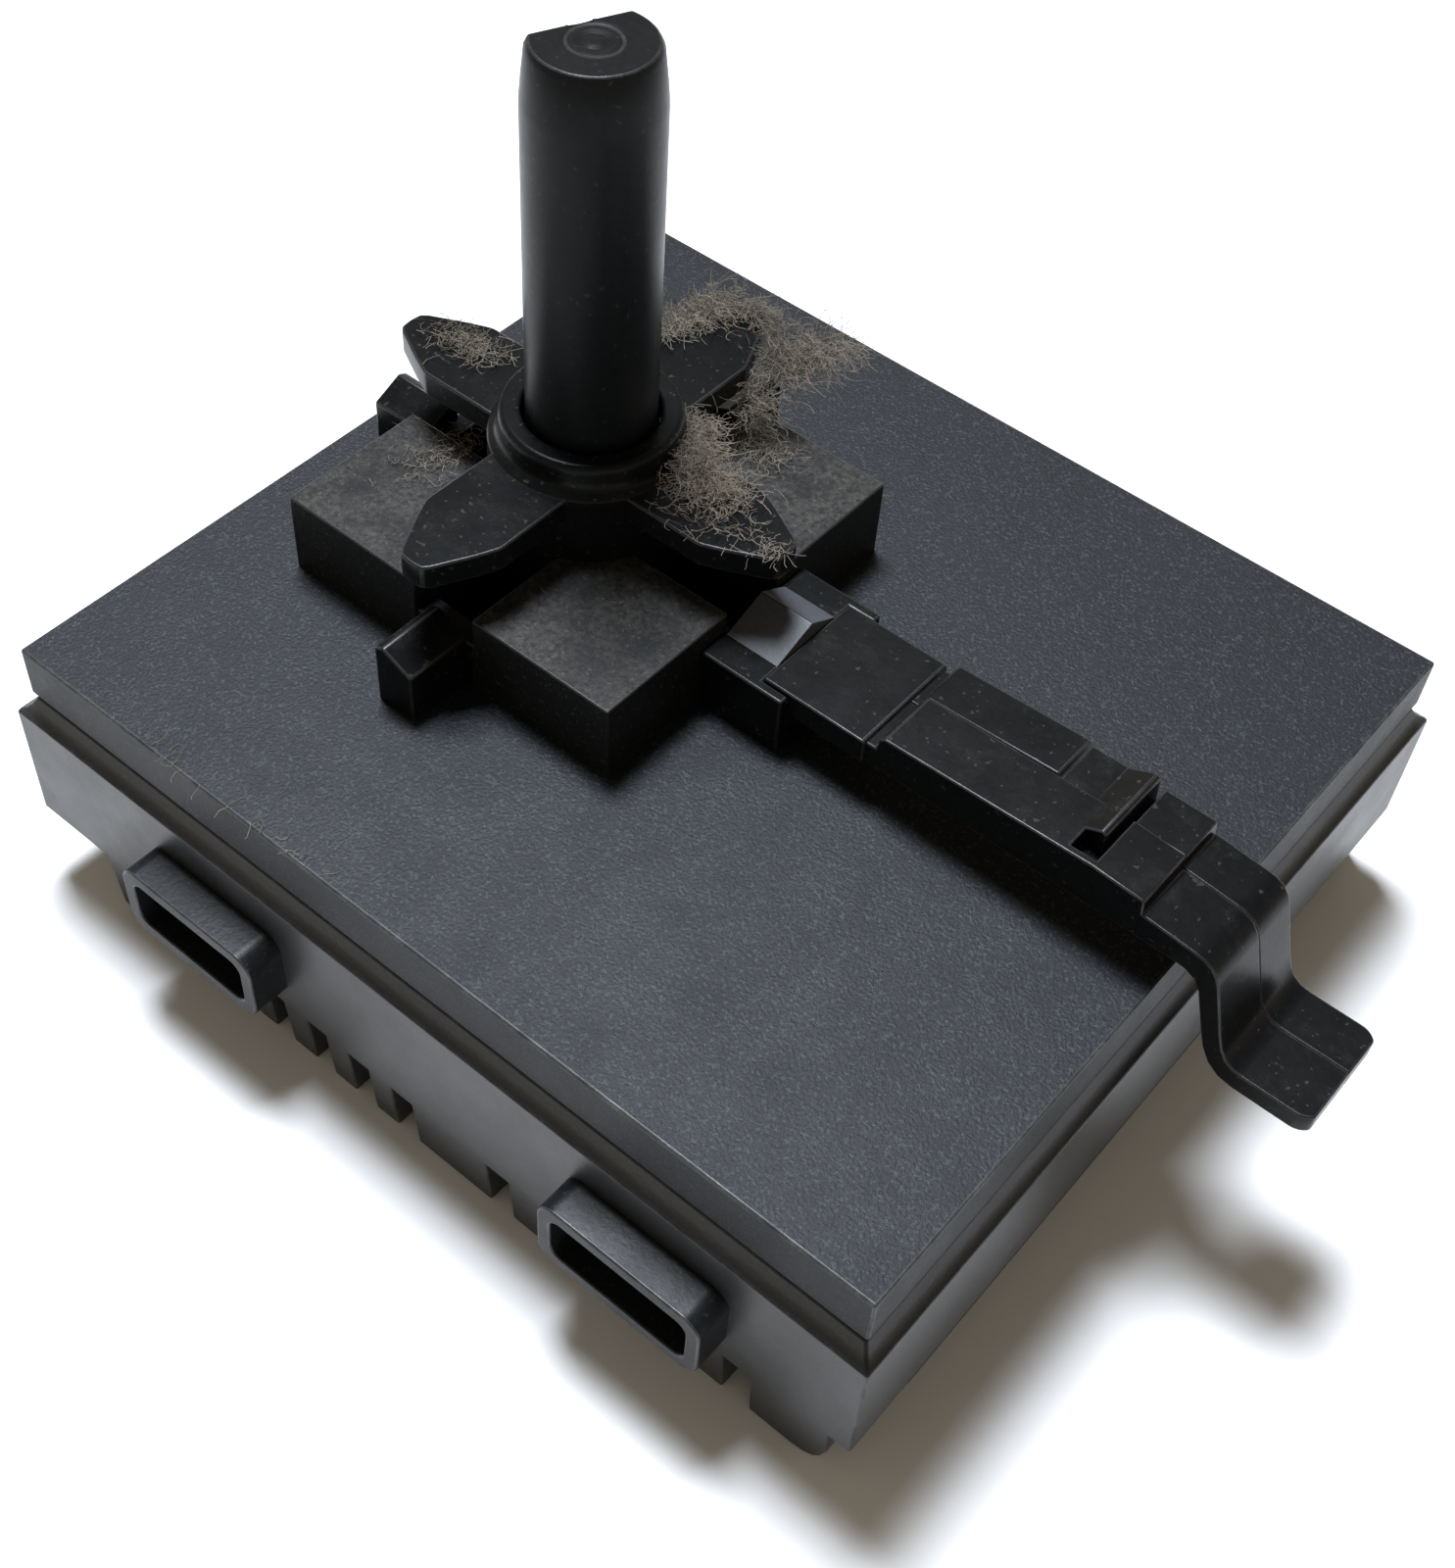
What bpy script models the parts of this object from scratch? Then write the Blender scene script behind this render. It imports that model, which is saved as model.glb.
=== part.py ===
"""Rotary selector switch with a bayonet boss and a sprung latch arm.

Metres, +Z up. The origin is on the shaft axis, in the plane the switch rests on.
The long side runs along X, the latch arm points along +X and the side sockets face -Y.
All dimensions below are in millimetres.
"""

import math

import bmesh
import bpy
from mathutils import Matrix, Vector

MM = 0.001
GAP = 0.3

# Cover: a plate with a skirt, and a lip that drops inside the base
COVER_X = (-15.0, 34.2)
COVER_Y = (-22.15, 22.15)
COVER_TOP = 15.3
COVER_PLATE = 1.6
SKIRT_BOTTOM = 12.4
LIP_BOTTOM = 9.8
LIP_WALL = 1.2

# Base: a tray with a sloping ledge round its rim
BASE_X = (-15.67, 34.87)
BASE_Y = (-22.8, 22.8)
BASE_BOTTOM = 4.15
BASE_FLOOR = 5.35
BASE_WALL = 1.7
LEDGE_BOTTOM = 11.2
LEDGE_TOP = 12.1
LEDGE_INSET = 0.8

# Seating pads and ramps on the cover
PAD_OUTER = 9.85
PAD_INNER = 1.8
PAD_TOP = 19.65
RAMP_START = 9.6
RAMP_END = 13.2
RAMP_SIDES = (-0.95, 1.25)
RAMP_CREST = -0.5
RAMP_HEIGHT = 3.5
RAMP_LOW_SIDE = 2.9
RAMP_BEARINGS = (90.0, 180.0, 270.0)

# Bayonet boss
BOSS_RADIUS = 4.75
BOSS_TOP = 23.3
COLLAR_RADIUS = 4.15
COLLAR_TOP = 24.8
BORE_RADIUS = 3.3
TAB_THICKNESS = 1.3
TAB_OUTLINE = ((3.9, 2.28), (8.35, 2.28), (9.4, 1.82), (11.3, 0.82), (11.55, 0.55))
TAB_BEARINGS = (0.0, 90.0, 180.0, 270.0)

# Root of the latch arm, standing on the cover
ROOT_X = (9.9, 14.45)
ROOT_HALF_WIDTH = 3.65
ROOT_HEIGHT = 3.5
ROOT_RIDGE_END = 13.0
ROOT_RIDGE_HALF_WIDTH = 2.2
ROOT_RIDGE_Y = 0.35
ROOT_RIDGE_TOP = 4.3

# Latch arm; heights are above the cover top
ARM_START = ROOT_X[1] + GAP
ARM_UNDERSIDE = 2.2
ARM_HALF_WIDTH = 2.9
ARM_PLATE_HALF_WIDTH = 3.2
ARM_PLATE_END = 18.6
ARM_PLATE_TOP = 3.3
ARM_OUTLINE = (
    (14.75, 3.3), (18.6, 3.3), (18.95, 2.9), (19.3, 3.3), (19.3, 4.2), (28.4, 4.6),
    (29.9, 4.4), (32.65, 4.4), (32.65, 3.65), (35.6, 3.3), (36.25, 3.2), (36.6, 2.8),
    (37.75, -0.75), (38.1, -1.6), (38.7, -2.0), (39.6, -2.0), (39.6, -3.05), (38.4, -3.05),
    (37.6, -2.6), (37.0, -1.8), (35.8, 1.8), (35.3, 2.2), (14.75, 2.2),
)
TOOTH_X = (28.3, 29.75)
TOOTH_Y = (-1.4, 2.8)
TOOTH_TOP = 4.95
RECESS_X = (26.2, 28.3)
RECESS_Y = (0.35, 3.5)
RECESS_FLOOR = 4.25
FINGER_TAB_X = (38.9, 42.5)
FINGER_TAB_Z = (-3.05, -2.0)
FINGER_TAB_RADIUS = 1.0
HINGE_X = 14.6
HINGE_Z = COVER_TOP + 2.75

# Side sockets on the -Y wall
SOCKET_SPANS = ((-6.7, 1.9), (19.3, 28.2))
SOCKET_Z = (4.6, 8.95)
SOCKET_FACE_Y = -24.7
SOCKET_BACK_Y = -19.0
SOCKET_BLIND_Y = -19.9
SOCKET_RING = 0.75
SOCKET_RADIUS = 1.0

# Connector rail under the -Y wall, and two feet under the +Y wall
RAIL_X = (-11.0, 33.8)
RAIL_THICKNESS = 2.0
RAIL_DRAFT = 0.3
RAIL_END = ((32.2, 0.0), (33.1, 0.4), (33.6, 1.5), (33.8, 3.0))
RAIL_NOTCHES = ((0.15, 1.3), (2.9, 4.1), (5.6, 6.9), (8.4, 9.7), (14.35, 15.7), (28.1, 29.6))
NOTCH_TOP = 3.5
FEET_X = ((-11.0, -3.0), (25.8, 33.8))

# Toothed lower edge of the +X wall, and the pins behind it
SIDE_PITCH = 2.5
SIDE_COUNT = 10
SIDE_FIRST_Y = -18.2
TOOTH_GAP_WIDTH = 1.1
TOOTH_GAP_HEIGHT = 0.45

# Lower bearing of the shaft
BEARING_RADIUS = 5.5
BEARING_BORE = 2.6
BEARING_FLOOR = 1.0

# Shaft
SHAFT_RADIUS = 3.0
SHAFT_TIP_RADIUS = 2.7
SHAFT_TIP = 43.0
SHAFT_TAPER_START = 40.5
JOURNAL_RADIUS = 2.3
JOURNAL_BOTTOM = 1.3
GROOVE_RADIUS = 2.6
GROOVE_Z = (8.9, 9.8)
FLAT_OFFSET = 1.35
FLAT_BEARING = 157.0
FLAT_BOTTOM = 27.0
DIMPLE_RADIUS = 1.3
DIMPLE_DEPTH = 0.3
KEY_OFFSET = 2.2
KEY_Z = (9.95, 12.45)

# Wiper carrier with a ring of detent notches on its underside
CARRIER_BOTTOM = 10.0
CARRIER_TOP = 11.2
CARRIER_RADIUS = 11.6
HUB_RADIUS = 4.8
HUB_TOP = 12.3
DETENT_COUNT = 16
DETENT_INNER = 9.1
DETENT_DEPTH = 0.5

# Detent plunger and its spring, in a guide tube on the base floor
DETENT_Y = 10.3
PLUNGER_RADIUS = 1.45
PLUNGER_Z = (7.9, 9.7)
GUIDE_INNER = 1.8
GUIDE_OUTER = 2.5
GUIDE_TOP = 8.2
SPRING_RADIUS = 1.15
SPRING_WIRE = 0.16
SPRING_Z = (5.82, 7.44)
SPRING_TURNS = 4

# Circuit board and what stands on it
BOARD_X = (-12.0, 32.4)
BOARD_Y = (-18.6, 19.4)
BOARD_Z = (6.5, 7.7)
BOARD_HOLE = 3.6
POST_CENTRES = ((-9.5, -16.0), (-9.5, 16.5), (24.0, -16.0), (24.0, 16.5))
POST_RADIUS = 1.6
TRACKS = (("track_inner", 4.6, 5.8), ("track_outer", 6.3, 7.5))
TRACK_Z = (8.0, 8.2)
CHIP_CENTRES = ((16.0, 6.0), (16.0, 9.0), (16.0, 12.0), (21.0, 9.0))
CHIP_SIZE = (3.2, 1.6, 0.6)

# Pin headers
PIN_WIDTH = 0.64
PIN_HOLE = 1.3
PIN_Z = (0.5, 9.0)
FRONT_PIN_Y = -16.9
FRONT_PIN_X = (0.72, 3.5, 6.25, 9.05, 15.0)
SIDE_PIN_X = 30.8
HEADER_Z = (1.6, 3.85)
HEADER_HALF_DEPTH = 1.4
HEADER_END = 1.6

# Wiper leaves: (name, radius, bearing)
LEAVES = (
    ("wiper_leaf_1", 5.2, 0.0), ("wiper_leaf_2", 6.9, 90.0),
    ("wiper_leaf_3", 5.2, 180.0), ("wiper_leaf_4", 6.9, 270.0),
)
LEAF_WIDTH = 0.8
LEAF_THICKNESS = 0.2
LEAF_PATH = ((-2.0, 9.6), (-0.4, 9.6), (0.9, 8.7), (1.3, 8.6), (1.7, 8.7), (2.0, 9.0))

# Washer and retaining ring
WASHER_RADII = (3.4, 6.0)
WASHER_Z = (12.65, 13.35)
RING_RADII = (2.9, 4.1)
RING_Z = (9.1, 9.6)
RING_OPENING = 50.0

SMOOTH_ANGLE = math.radians(35.0)


def clear_scene():
    """Remove whatever the start-up file holds."""
    for item in list(bpy.data.objects):
        bpy.data.objects.remove(item, do_unlink=True)


def make_material(name, colour, roughness, metallic=0.0):
    """Return a Principled material."""
    made = bpy.data.materials.new(name)
    made.use_nodes = True
    shader = made.node_tree.nodes["Principled BSDF"]
    shader.inputs["Base Color"].default_value = (*colour, 1.0)
    shader.inputs["Roughness"].default_value = roughness
    shader.inputs["Metallic"].default_value = metallic
    return made


def object_from(mesh_data, name="solid"):
    """Turn a bmesh measured in millimetres into a linked object in metres."""
    bmesh.ops.scale(mesh_data, vec=(MM, MM, MM), verts=mesh_data.verts)
    bmesh.ops.recalc_face_normals(mesh_data, faces=mesh_data.faces)
    mesh = bpy.data.meshes.new(name)
    mesh_data.to_mesh(mesh)
    mesh_data.free()
    made = bpy.data.objects.new(name, mesh)
    bpy.context.collection.objects.link(made)
    return made


def prism(outline, start, end, axis="Z"):
    """Extrude a closed outline along an axis.

    The outline is (x, y) for Z, (y, z) for X and (x, z) for Y.
    """
    place = {
        "Z": lambda u, v, w: (u, v, w),
        "X": lambda u, v, w: (w, u, v),
        "Y": lambda u, v, w: (u, w, v),
    }[axis]
    mesh_data = bmesh.new()
    lower = [mesh_data.verts.new(place(u, v, start)) for u, v in outline]
    upper = [mesh_data.verts.new(place(u, v, end)) for u, v in outline]
    mesh_data.faces.new(lower)
    mesh_data.faces.new(upper)
    count = len(outline)
    for index in range(count):
        following = (index + 1) % count
        mesh_data.faces.new((lower[index], lower[following], upper[following], upper[index]))
    return object_from(mesh_data)


def box(x_span, y_span, z_span):
    """Return a plain block."""
    corners = (
        (x_span[0], y_span[0]), (x_span[1], y_span[0]),
        (x_span[1], y_span[1]), (x_span[0], y_span[1]),
    )
    return prism(corners, z_span[0], z_span[1])


def frustum(x_span, y_span, z_span, inset):
    """Return a block whose top is smaller than its foot by the inset on each side."""
    made = box(x_span, y_span, z_span)
    middle = (z_span[0] + z_span[1]) / 2 * MM
    centre = Vector(((x_span[0] + x_span[1]) / 2 * MM, (y_span[0] + y_span[1]) / 2 * MM))
    for vertex in made.data.vertices:
        if vertex.co.z > middle:
            vertex.co.x -= math.copysign(inset * MM, vertex.co.x - centre.x)
            vertex.co.y -= math.copysign(inset * MM, vertex.co.y - centre.y)
    return made


def rounded_rectangle(u_span, v_span, radius, steps=4):
    """Return the outline of a rectangle with rounded corners."""
    corners = (
        (u_span[1] - radius, v_span[1] - radius, 0.0),
        (u_span[0] + radius, v_span[1] - radius, 90.0),
        (u_span[0] + radius, v_span[0] + radius, 180.0),
        (u_span[1] - radius, v_span[0] + radius, 270.0),
    )
    outline = []
    for centre_u, centre_v, first in corners:
        for step in range(steps + 1):
            angle = math.radians(first + 90.0 * step / steps)
            outline.append((centre_u + radius * math.cos(angle), centre_v + radius * math.sin(angle)))
    return outline


def turned(profile, segments=48, centre=(0.0, 0.0)):
    """Revolve a profile of (radius, height) points about a vertical line.

    A profile that starts and ends on the line makes a solid; any other profile is a closed loop.
    """
    mesh_data = bmesh.new()
    rings = []
    for radius, height in profile:
        if radius == 0.0:
            rings.append([mesh_data.verts.new((centre[0], centre[1], height))])
            continue
        ring = []
        for step in range(segments):
            angle = math.tau * step / segments
            x = centre[0] + radius * math.cos(angle)
            y = centre[1] + radius * math.sin(angle)
            ring.append(mesh_data.verts.new((x, y, height)))
        rings.append(ring)
    pairs = list(zip(rings, rings[1:]))
    if len(rings[0]) > 1:
        pairs.append((rings[-1], rings[0]))
    for near, far in pairs:
        for step in range(segments):
            following = (step + 1) % segments
            if len(near) == 1:
                mesh_data.faces.new((near[0], far[step], far[following]))
            elif len(far) == 1:
                mesh_data.faces.new((near[step], near[following], far[0]))
            else:
                mesh_data.faces.new((near[step], near[following], far[following], far[step]))
    return object_from(mesh_data)


def cylinder(radius, z_span, segments=32, centre=(0.0, 0.0)):
    """Return a vertical cylinder."""
    profile = ((0.0, z_span[0]), (radius, z_span[0]), (radius, z_span[1]), (0.0, z_span[1]))
    return turned(profile, segments, centre)


def tube(radii, z_span, segments=32, centre=(0.0, 0.0)):
    """Return a vertical tube with an inner and an outer radius."""
    inner, outer = radii
    profile = ((inner, z_span[0]), (outer, z_span[0]), (outer, z_span[1]), (inner, z_span[1]))
    return turned(profile, segments, centre)


def rotate_about_axis(item, degrees):
    """Turn an object's mesh about the Z axis."""
    item.data.transform(Matrix.Rotation(math.radians(degrees), 4, "Z"))
    return item


def combine(target, tools, operation):
    """Apply one Boolean per tool to the target and remove the tools."""
    for tool in tools:
        modifier = target.modifiers.new("boolean", "BOOLEAN")
        modifier.solver = "EXACT"
        modifier.operation = operation
        modifier.object = tool
        bpy.context.view_layer.update()
        evaluated = target.evaluated_get(bpy.context.evaluated_depsgraph_get())
        result = bpy.data.meshes.new_from_object(evaluated)
        target.modifiers.clear()
        target.data = result
        bpy.data.objects.remove(tool, do_unlink=True)
    return target


def join(target, *tools):
    """Unite the tools with the target."""
    return combine(target, tools, "UNION")


def cut(target, *tools):
    """Cut the tools out of the target."""
    return combine(target, tools, "DIFFERENCE")


def name_part(item, name, material, smooth=False):
    """Name an object, give it its material and shade it."""
    item.name = name
    item.data.name = name
    item.data.materials.clear()
    item.data.materials.append(material)
    if smooth:
        item.data.shade_smooth()
        item.data.set_sharp_from_angle(angle=SMOOTH_ANGLE)
    else:
        item.data.shade_flat()
    return item


def move_origin(item, point):
    """Put an object's origin at a point in millimetres without moving its mesh."""
    offset = Vector(point) * MM
    item.data.transform(Matrix.Translation(-offset))
    item.location = offset


def grown(span, amount):
    """Return a span made longer by an amount at each end."""
    return (span[0] - amount, span[1] + amount)


def build_ramp(bearing):
    """Return one bayonet ramp; its crest runs along the radius."""
    crest = COVER_TOP + RAMP_HEIGHT
    low = COVER_TOP + RAMP_LOW_SIDE
    foot = COVER_TOP - 0.5
    outline = (
        (RAMP_SIDES[0], foot), (RAMP_SIDES[1], foot), (RAMP_SIDES[1], low),
        (RAMP_CREST, crest), (RAMP_SIDES[0], crest - 0.15),
    )
    return rotate_about_axis(prism(outline, RAMP_START, RAMP_END, "X"), bearing)


def build_bayonet_tab(bearing):
    """Return one bayonet tab."""
    outline = [(x, -half) for x, half in TAB_OUTLINE]
    outline += [(x, half) for x, half in reversed(TAB_OUTLINE)]
    return rotate_about_axis(prism(outline, BOSS_TOP - TAB_THICKNESS, BOSS_TOP), bearing)


def build_arm_root():
    """Return the block the latch arm springs from, with the low ridge on it."""
    z_span = (COVER_TOP - 0.5, COVER_TOP + ROOT_HEIGHT)
    root = box(ROOT_X, (-ROOT_HALF_WIDTH, ROOT_HALF_WIDTH), z_span)
    ridge = (
        (-ROOT_RIDGE_HALF_WIDTH, COVER_TOP + 3.0), (ROOT_RIDGE_HALF_WIDTH, COVER_TOP + 3.0),
        (ROOT_RIDGE_HALF_WIDTH, z_span[1] - 0.02), (ROOT_RIDGE_Y, COVER_TOP + ROOT_RIDGE_TOP),
        (-ROOT_RIDGE_HALF_WIDTH, z_span[1] - 0.02),
    )
    return join(root, prism(ridge, ROOT_X[0] + 0.1, ROOT_RIDGE_END, "X"))


def build_cover(material):
    """Return the top cover with pads, ramps, bayonet boss and arm root."""
    cover = box(COVER_X, COVER_Y, (SKIRT_BOTTOM, COVER_TOP))
    inside_x = (BASE_X[0] + BASE_WALL + GAP, BASE_X[1] - BASE_WALL - GAP)
    inside_y = (BASE_Y[0] + BASE_WALL + GAP, BASE_Y[1] - BASE_WALL - GAP)
    join(cover, box(inside_x, inside_y, (LIP_BOTTOM, SKIRT_BOTTOM + 0.5)))
    cavity_x = grown(inside_x, -LIP_WALL)
    cavity_y = grown(inside_y, -LIP_WALL)
    cut(cover, box(cavity_x, cavity_y, (LIP_BOTTOM - 1.0, COVER_TOP - COVER_PLATE)))
    foot = COVER_TOP - 0.5
    pad_spans = ((-PAD_OUTER, -PAD_INNER), (PAD_INNER, PAD_OUTER))
    for x_span in pad_spans:
        for y_span in pad_spans:
            join(cover, box(x_span, y_span, (foot, PAD_TOP)))
    boss = turned((
        (0.0, foot), (BOSS_RADIUS, foot), (BOSS_RADIUS, BOSS_TOP), (COLLAR_RADIUS, BOSS_TOP),
        (COLLAR_RADIUS, COLLAR_TOP - 0.2), (COLLAR_RADIUS - 0.2, COLLAR_TOP), (0.0, COLLAR_TOP),
    ))
    join(cover, boss)
    join(cover, *[build_bayonet_tab(bearing) for bearing in TAB_BEARINGS])
    join(cover, *[build_ramp(bearing) for bearing in RAMP_BEARINGS])
    join(cover, build_arm_root())
    cut(cover, cylinder(BORE_RADIUS, (COVER_TOP - 3.0, COLLAR_TOP + 1.0), 48))
    return name_part(cover, "top_cover", material)


def build_latch_arm(material):
    """Return the latch arm with its origin on its bending line."""
    outline = [(x, COVER_TOP + z) for x, z in ARM_OUTLINE]
    arm = prism(outline, -ARM_HALF_WIDTH, ARM_HALF_WIDTH, "Y")
    plate_z = (COVER_TOP + ARM_UNDERSIDE, COVER_TOP + ARM_PLATE_TOP)
    plate_y = (-ARM_PLATE_HALF_WIDTH, ARM_PLATE_HALF_WIDTH)
    join(arm, box((ARM_START, ARM_PLATE_END - 0.1), plate_y, plate_z))
    cut(arm, box(RECESS_X, RECESS_Y, (COVER_TOP + RECESS_FLOOR, COVER_TOP + 7.0)))
    tooth = (
        (TOOTH_X[0] - 0.2, COVER_TOP + 3.5), (TOOTH_X[1], COVER_TOP + 3.5), (TOOTH_X[1], COVER_TOP + TOOTH_TOP),
        (TOOTH_X[1] - 0.25, COVER_TOP + TOOTH_TOP), (TOOTH_X[0] - 0.2, COVER_TOP + RECESS_FLOOR),
    )
    join(arm, prism(tooth, TOOTH_Y[0], TOOTH_Y[1], "Y"))
    tab_outline = rounded_rectangle(
        (FINGER_TAB_X[0] - 2.0, FINGER_TAB_X[1]), (-ARM_HALF_WIDTH, ARM_HALF_WIDTH), FINGER_TAB_RADIUS)
    tab = prism(tab_outline, COVER_TOP + FINGER_TAB_Z[0], COVER_TOP + FINGER_TAB_Z[1])
    cut(tab, box((30.0, FINGER_TAB_X[0]), (-5.0, 5.0), (5.0, 20.0)))
    join(arm, tab)
    name_part(arm, "latch_arm", material)
    move_origin(arm, (HINGE_X, 0.0, HINGE_Z))
    return arm


def build_rail():
    """Return the notched rail under the -Y wall; its outer face leans inwards."""
    top = BASE_BOTTOM + 0.3
    outline = [(RAIL_X[0], top), (RAIL_X[0], 0.0), *RAIL_END, (RAIL_X[1], top)]
    rail = prism(outline, BASE_Y[0], BASE_Y[0] + RAIL_THICKNESS, "Y")
    for vertex in rail.data.vertices:
        if vertex.co.y < (BASE_Y[0] + 0.1) * MM:
            vertex.co.y += RAIL_DRAFT * (1.0 - vertex.co.z / (top * MM)) * MM
    notch_y = (BASE_Y[0] - 1.0, BASE_Y[0] + RAIL_THICKNESS + 1.0)
    return cut(rail, *[box(span, notch_y, (-1.0, NOTCH_TOP)) for span in RAIL_NOTCHES])


def build_tray():
    """Return the plain tray of the base: upright walls with a sloping ledge round the rim."""
    levels = ((BASE_BOTTOM, 0.0), (LEDGE_BOTTOM, 0.0), (LEDGE_TOP, LEDGE_INSET))
    mesh_data = bmesh.new()
    rings = []
    for height, inset in levels:
        x_span = grown(BASE_X, -inset)
        y_span = grown(BASE_Y, -inset)
        corners = (
            (x_span[0], y_span[0]), (x_span[1], y_span[0]),
            (x_span[1], y_span[1]), (x_span[0], y_span[1]),
        )
        rings.append([mesh_data.verts.new((x, y, height)) for x, y in corners])
    mesh_data.faces.new(rings[0])
    mesh_data.faces.new(rings[-1])
    for lower, upper in zip(rings, rings[1:]):
        for step in range(4):
            following = (step + 1) % 4
            mesh_data.faces.new((lower[step], lower[following], upper[following], upper[step]))
    tray = object_from(mesh_data)
    cavity_x = grown(BASE_X, -BASE_WALL)
    cavity_y = grown(BASE_Y, -BASE_WALL)
    return cut(tray, box(cavity_x, cavity_y, (BASE_FLOOR, LEDGE_TOP + 1.0)))


def build_base(material):
    """Return the base shell with sockets, rail, feet, bearing and board posts."""
    base = build_tray()
    for span in SOCKET_SPANS:
        housing = rounded_rectangle(span, SOCKET_Z, SOCKET_RADIUS)
        join(base, prism(housing, SOCKET_FACE_Y, SOCKET_BACK_Y, "Y"))
        mouth = rounded_rectangle(
            grown(span, -SOCKET_RING), grown(SOCKET_Z, -SOCKET_RING), SOCKET_RADIUS - 0.3)
        cut(base, prism(mouth, SOCKET_FACE_Y - 1.0, SOCKET_BLIND_Y, "Y"))
    join(base, build_rail())
    foot_y = (BASE_Y[1] - RAIL_THICKNESS - 0.1, BASE_Y[1] - 0.1)
    join(base, *[box(span, foot_y, (0.0, BASE_BOTTOM + 0.3)) for span in FEET_X])
    join(base, cylinder(BEARING_RADIUS, (0.0, BASE_FLOOR - 0.4), 40))
    cut(base, cylinder(BEARING_BORE, (BEARING_FLOOR, BASE_FLOOR + 1.0)))
    posts = [cylinder(POST_RADIUS, (BASE_FLOOR - 0.4, BOARD_Z[0] - GAP), 16, centre) for centre in POST_CENTRES]
    join(base, *posts)
    guide_z = (BASE_FLOOR - 0.4, GUIDE_TOP)
    join(base, tube((GUIDE_INNER, GUIDE_OUTER), guide_z, 24, (0.0, DETENT_Y)))
    front_slot = (FRONT_PIN_X[0] - 1.0, FRONT_PIN_X[-1] + 1.0)
    floor_z = (BASE_BOTTOM - 1.0, BASE_FLOOR + 0.5)
    cut(base, box(front_slot, (FRONT_PIN_Y - 0.8, FRONT_PIN_Y + 0.8), floor_z))
    side_y = side_pin_positions()
    cut(base, box((SIDE_PIN_X - 0.8, SIDE_PIN_X + 0.8), (side_y[0] - 1.0, side_y[-1] + 1.0), floor_z))
    for y in side_y:
        half = TOOTH_GAP_WIDTH / 2
        edge_x = (BASE_X[1] - 0.7, BASE_X[1] + 1.0)
        edge_z = (BASE_BOTTOM - 1.0, BASE_BOTTOM + TOOTH_GAP_HEIGHT)
        cut(base, box(edge_x, (y - half, y + half), edge_z))
    return name_part(base, "base_shell", material)


def side_pin_positions():
    """Return the Y position of each pin behind the toothed edge."""
    return [SIDE_FIRST_Y + SIDE_PITCH * index for index in range(SIDE_COUNT)]


def pin_centres():
    """Return the name and centre of every connector pin."""
    centres = []
    for index, x in enumerate(FRONT_PIN_X):
        centres.append(("front_pin_%d" % (index + 1), (x, FRONT_PIN_Y)))
    for index, y in enumerate(side_pin_positions()):
        centres.append(("side_pin_%02d" % (index + 1), (SIDE_PIN_X, y)))
    return centres


def square_at(centre, width, z_span):
    """Return an upright square bar centred on a point."""
    half = width / 2
    x_span = (centre[0] - half, centre[0] + half)
    y_span = (centre[1] - half, centre[1] + half)
    return box(x_span, y_span, z_span)


def build_pins(material):
    """Return every connector pin, each with tapered ends."""
    pins = []
    for name, centre in pin_centres():
        half = PIN_WIDTH / 2
        waist = 0.5
        mesh_data = bmesh.new()
        levels = (
            (PIN_Z[0], half * 0.5), (PIN_Z[0] + waist, half), (PIN_Z[1] - waist, half), (PIN_Z[1], half * 0.5),
        )
        rings = []
        for height, reach in levels:
            corners = ((-reach, -reach), (reach, -reach), (reach, reach), (-reach, reach))
            rings.append([mesh_data.verts.new((centre[0] + u, centre[1] + v, height)) for u, v in corners])
        mesh_data.faces.new(rings[0])
        mesh_data.faces.new(rings[-1])
        for lower, upper in zip(rings, rings[1:]):
            for step in range(4):
                following = (step + 1) % 4
                mesh_data.faces.new((lower[step], lower[following], upper[following], upper[step]))
        pins.append(name_part(object_from(mesh_data), name, material))
    return pins


def build_headers(material):
    """Return the two plastic blocks that hold the pins under the base floor."""
    side_y = side_pin_positions()
    front = box(
        (FRONT_PIN_X[0] - HEADER_END, FRONT_PIN_X[-1] + HEADER_END),
        (FRONT_PIN_Y - HEADER_HALF_DEPTH, FRONT_PIN_Y + HEADER_HALF_DEPTH), HEADER_Z)
    side = box(
        (SIDE_PIN_X - HEADER_HALF_DEPTH, SIDE_PIN_X + HEADER_HALF_DEPTH),
        (side_y[0] - HEADER_END, side_y[-1] + HEADER_END), HEADER_Z)
    hole_z = (HEADER_Z[0] - 1.0, HEADER_Z[1] + 1.0)
    for name, centre in pin_centres():
        block = front if name.startswith("front") else side
        cut(block, square_at(centre, PIN_HOLE, hole_z))
    name_part(front, "front_header", material)
    name_part(side, "side_header", material)


def build_board(material):
    """Return the circuit board with holes for the shaft, the detent guide and the pins."""
    board = box(BOARD_X, BOARD_Y, BOARD_Z)
    hole_z = grown(BOARD_Z, 1.0)
    cut(board, cylinder(BOARD_HOLE, hole_z, 32))
    cut(board, cylinder(GUIDE_OUTER + GAP, hole_z, 24, (0.0, DETENT_Y)))
    for _, centre in pin_centres():
        cut(board, square_at(centre, PIN_HOLE, hole_z))
    return name_part(board, "circuit_board", material)


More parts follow.
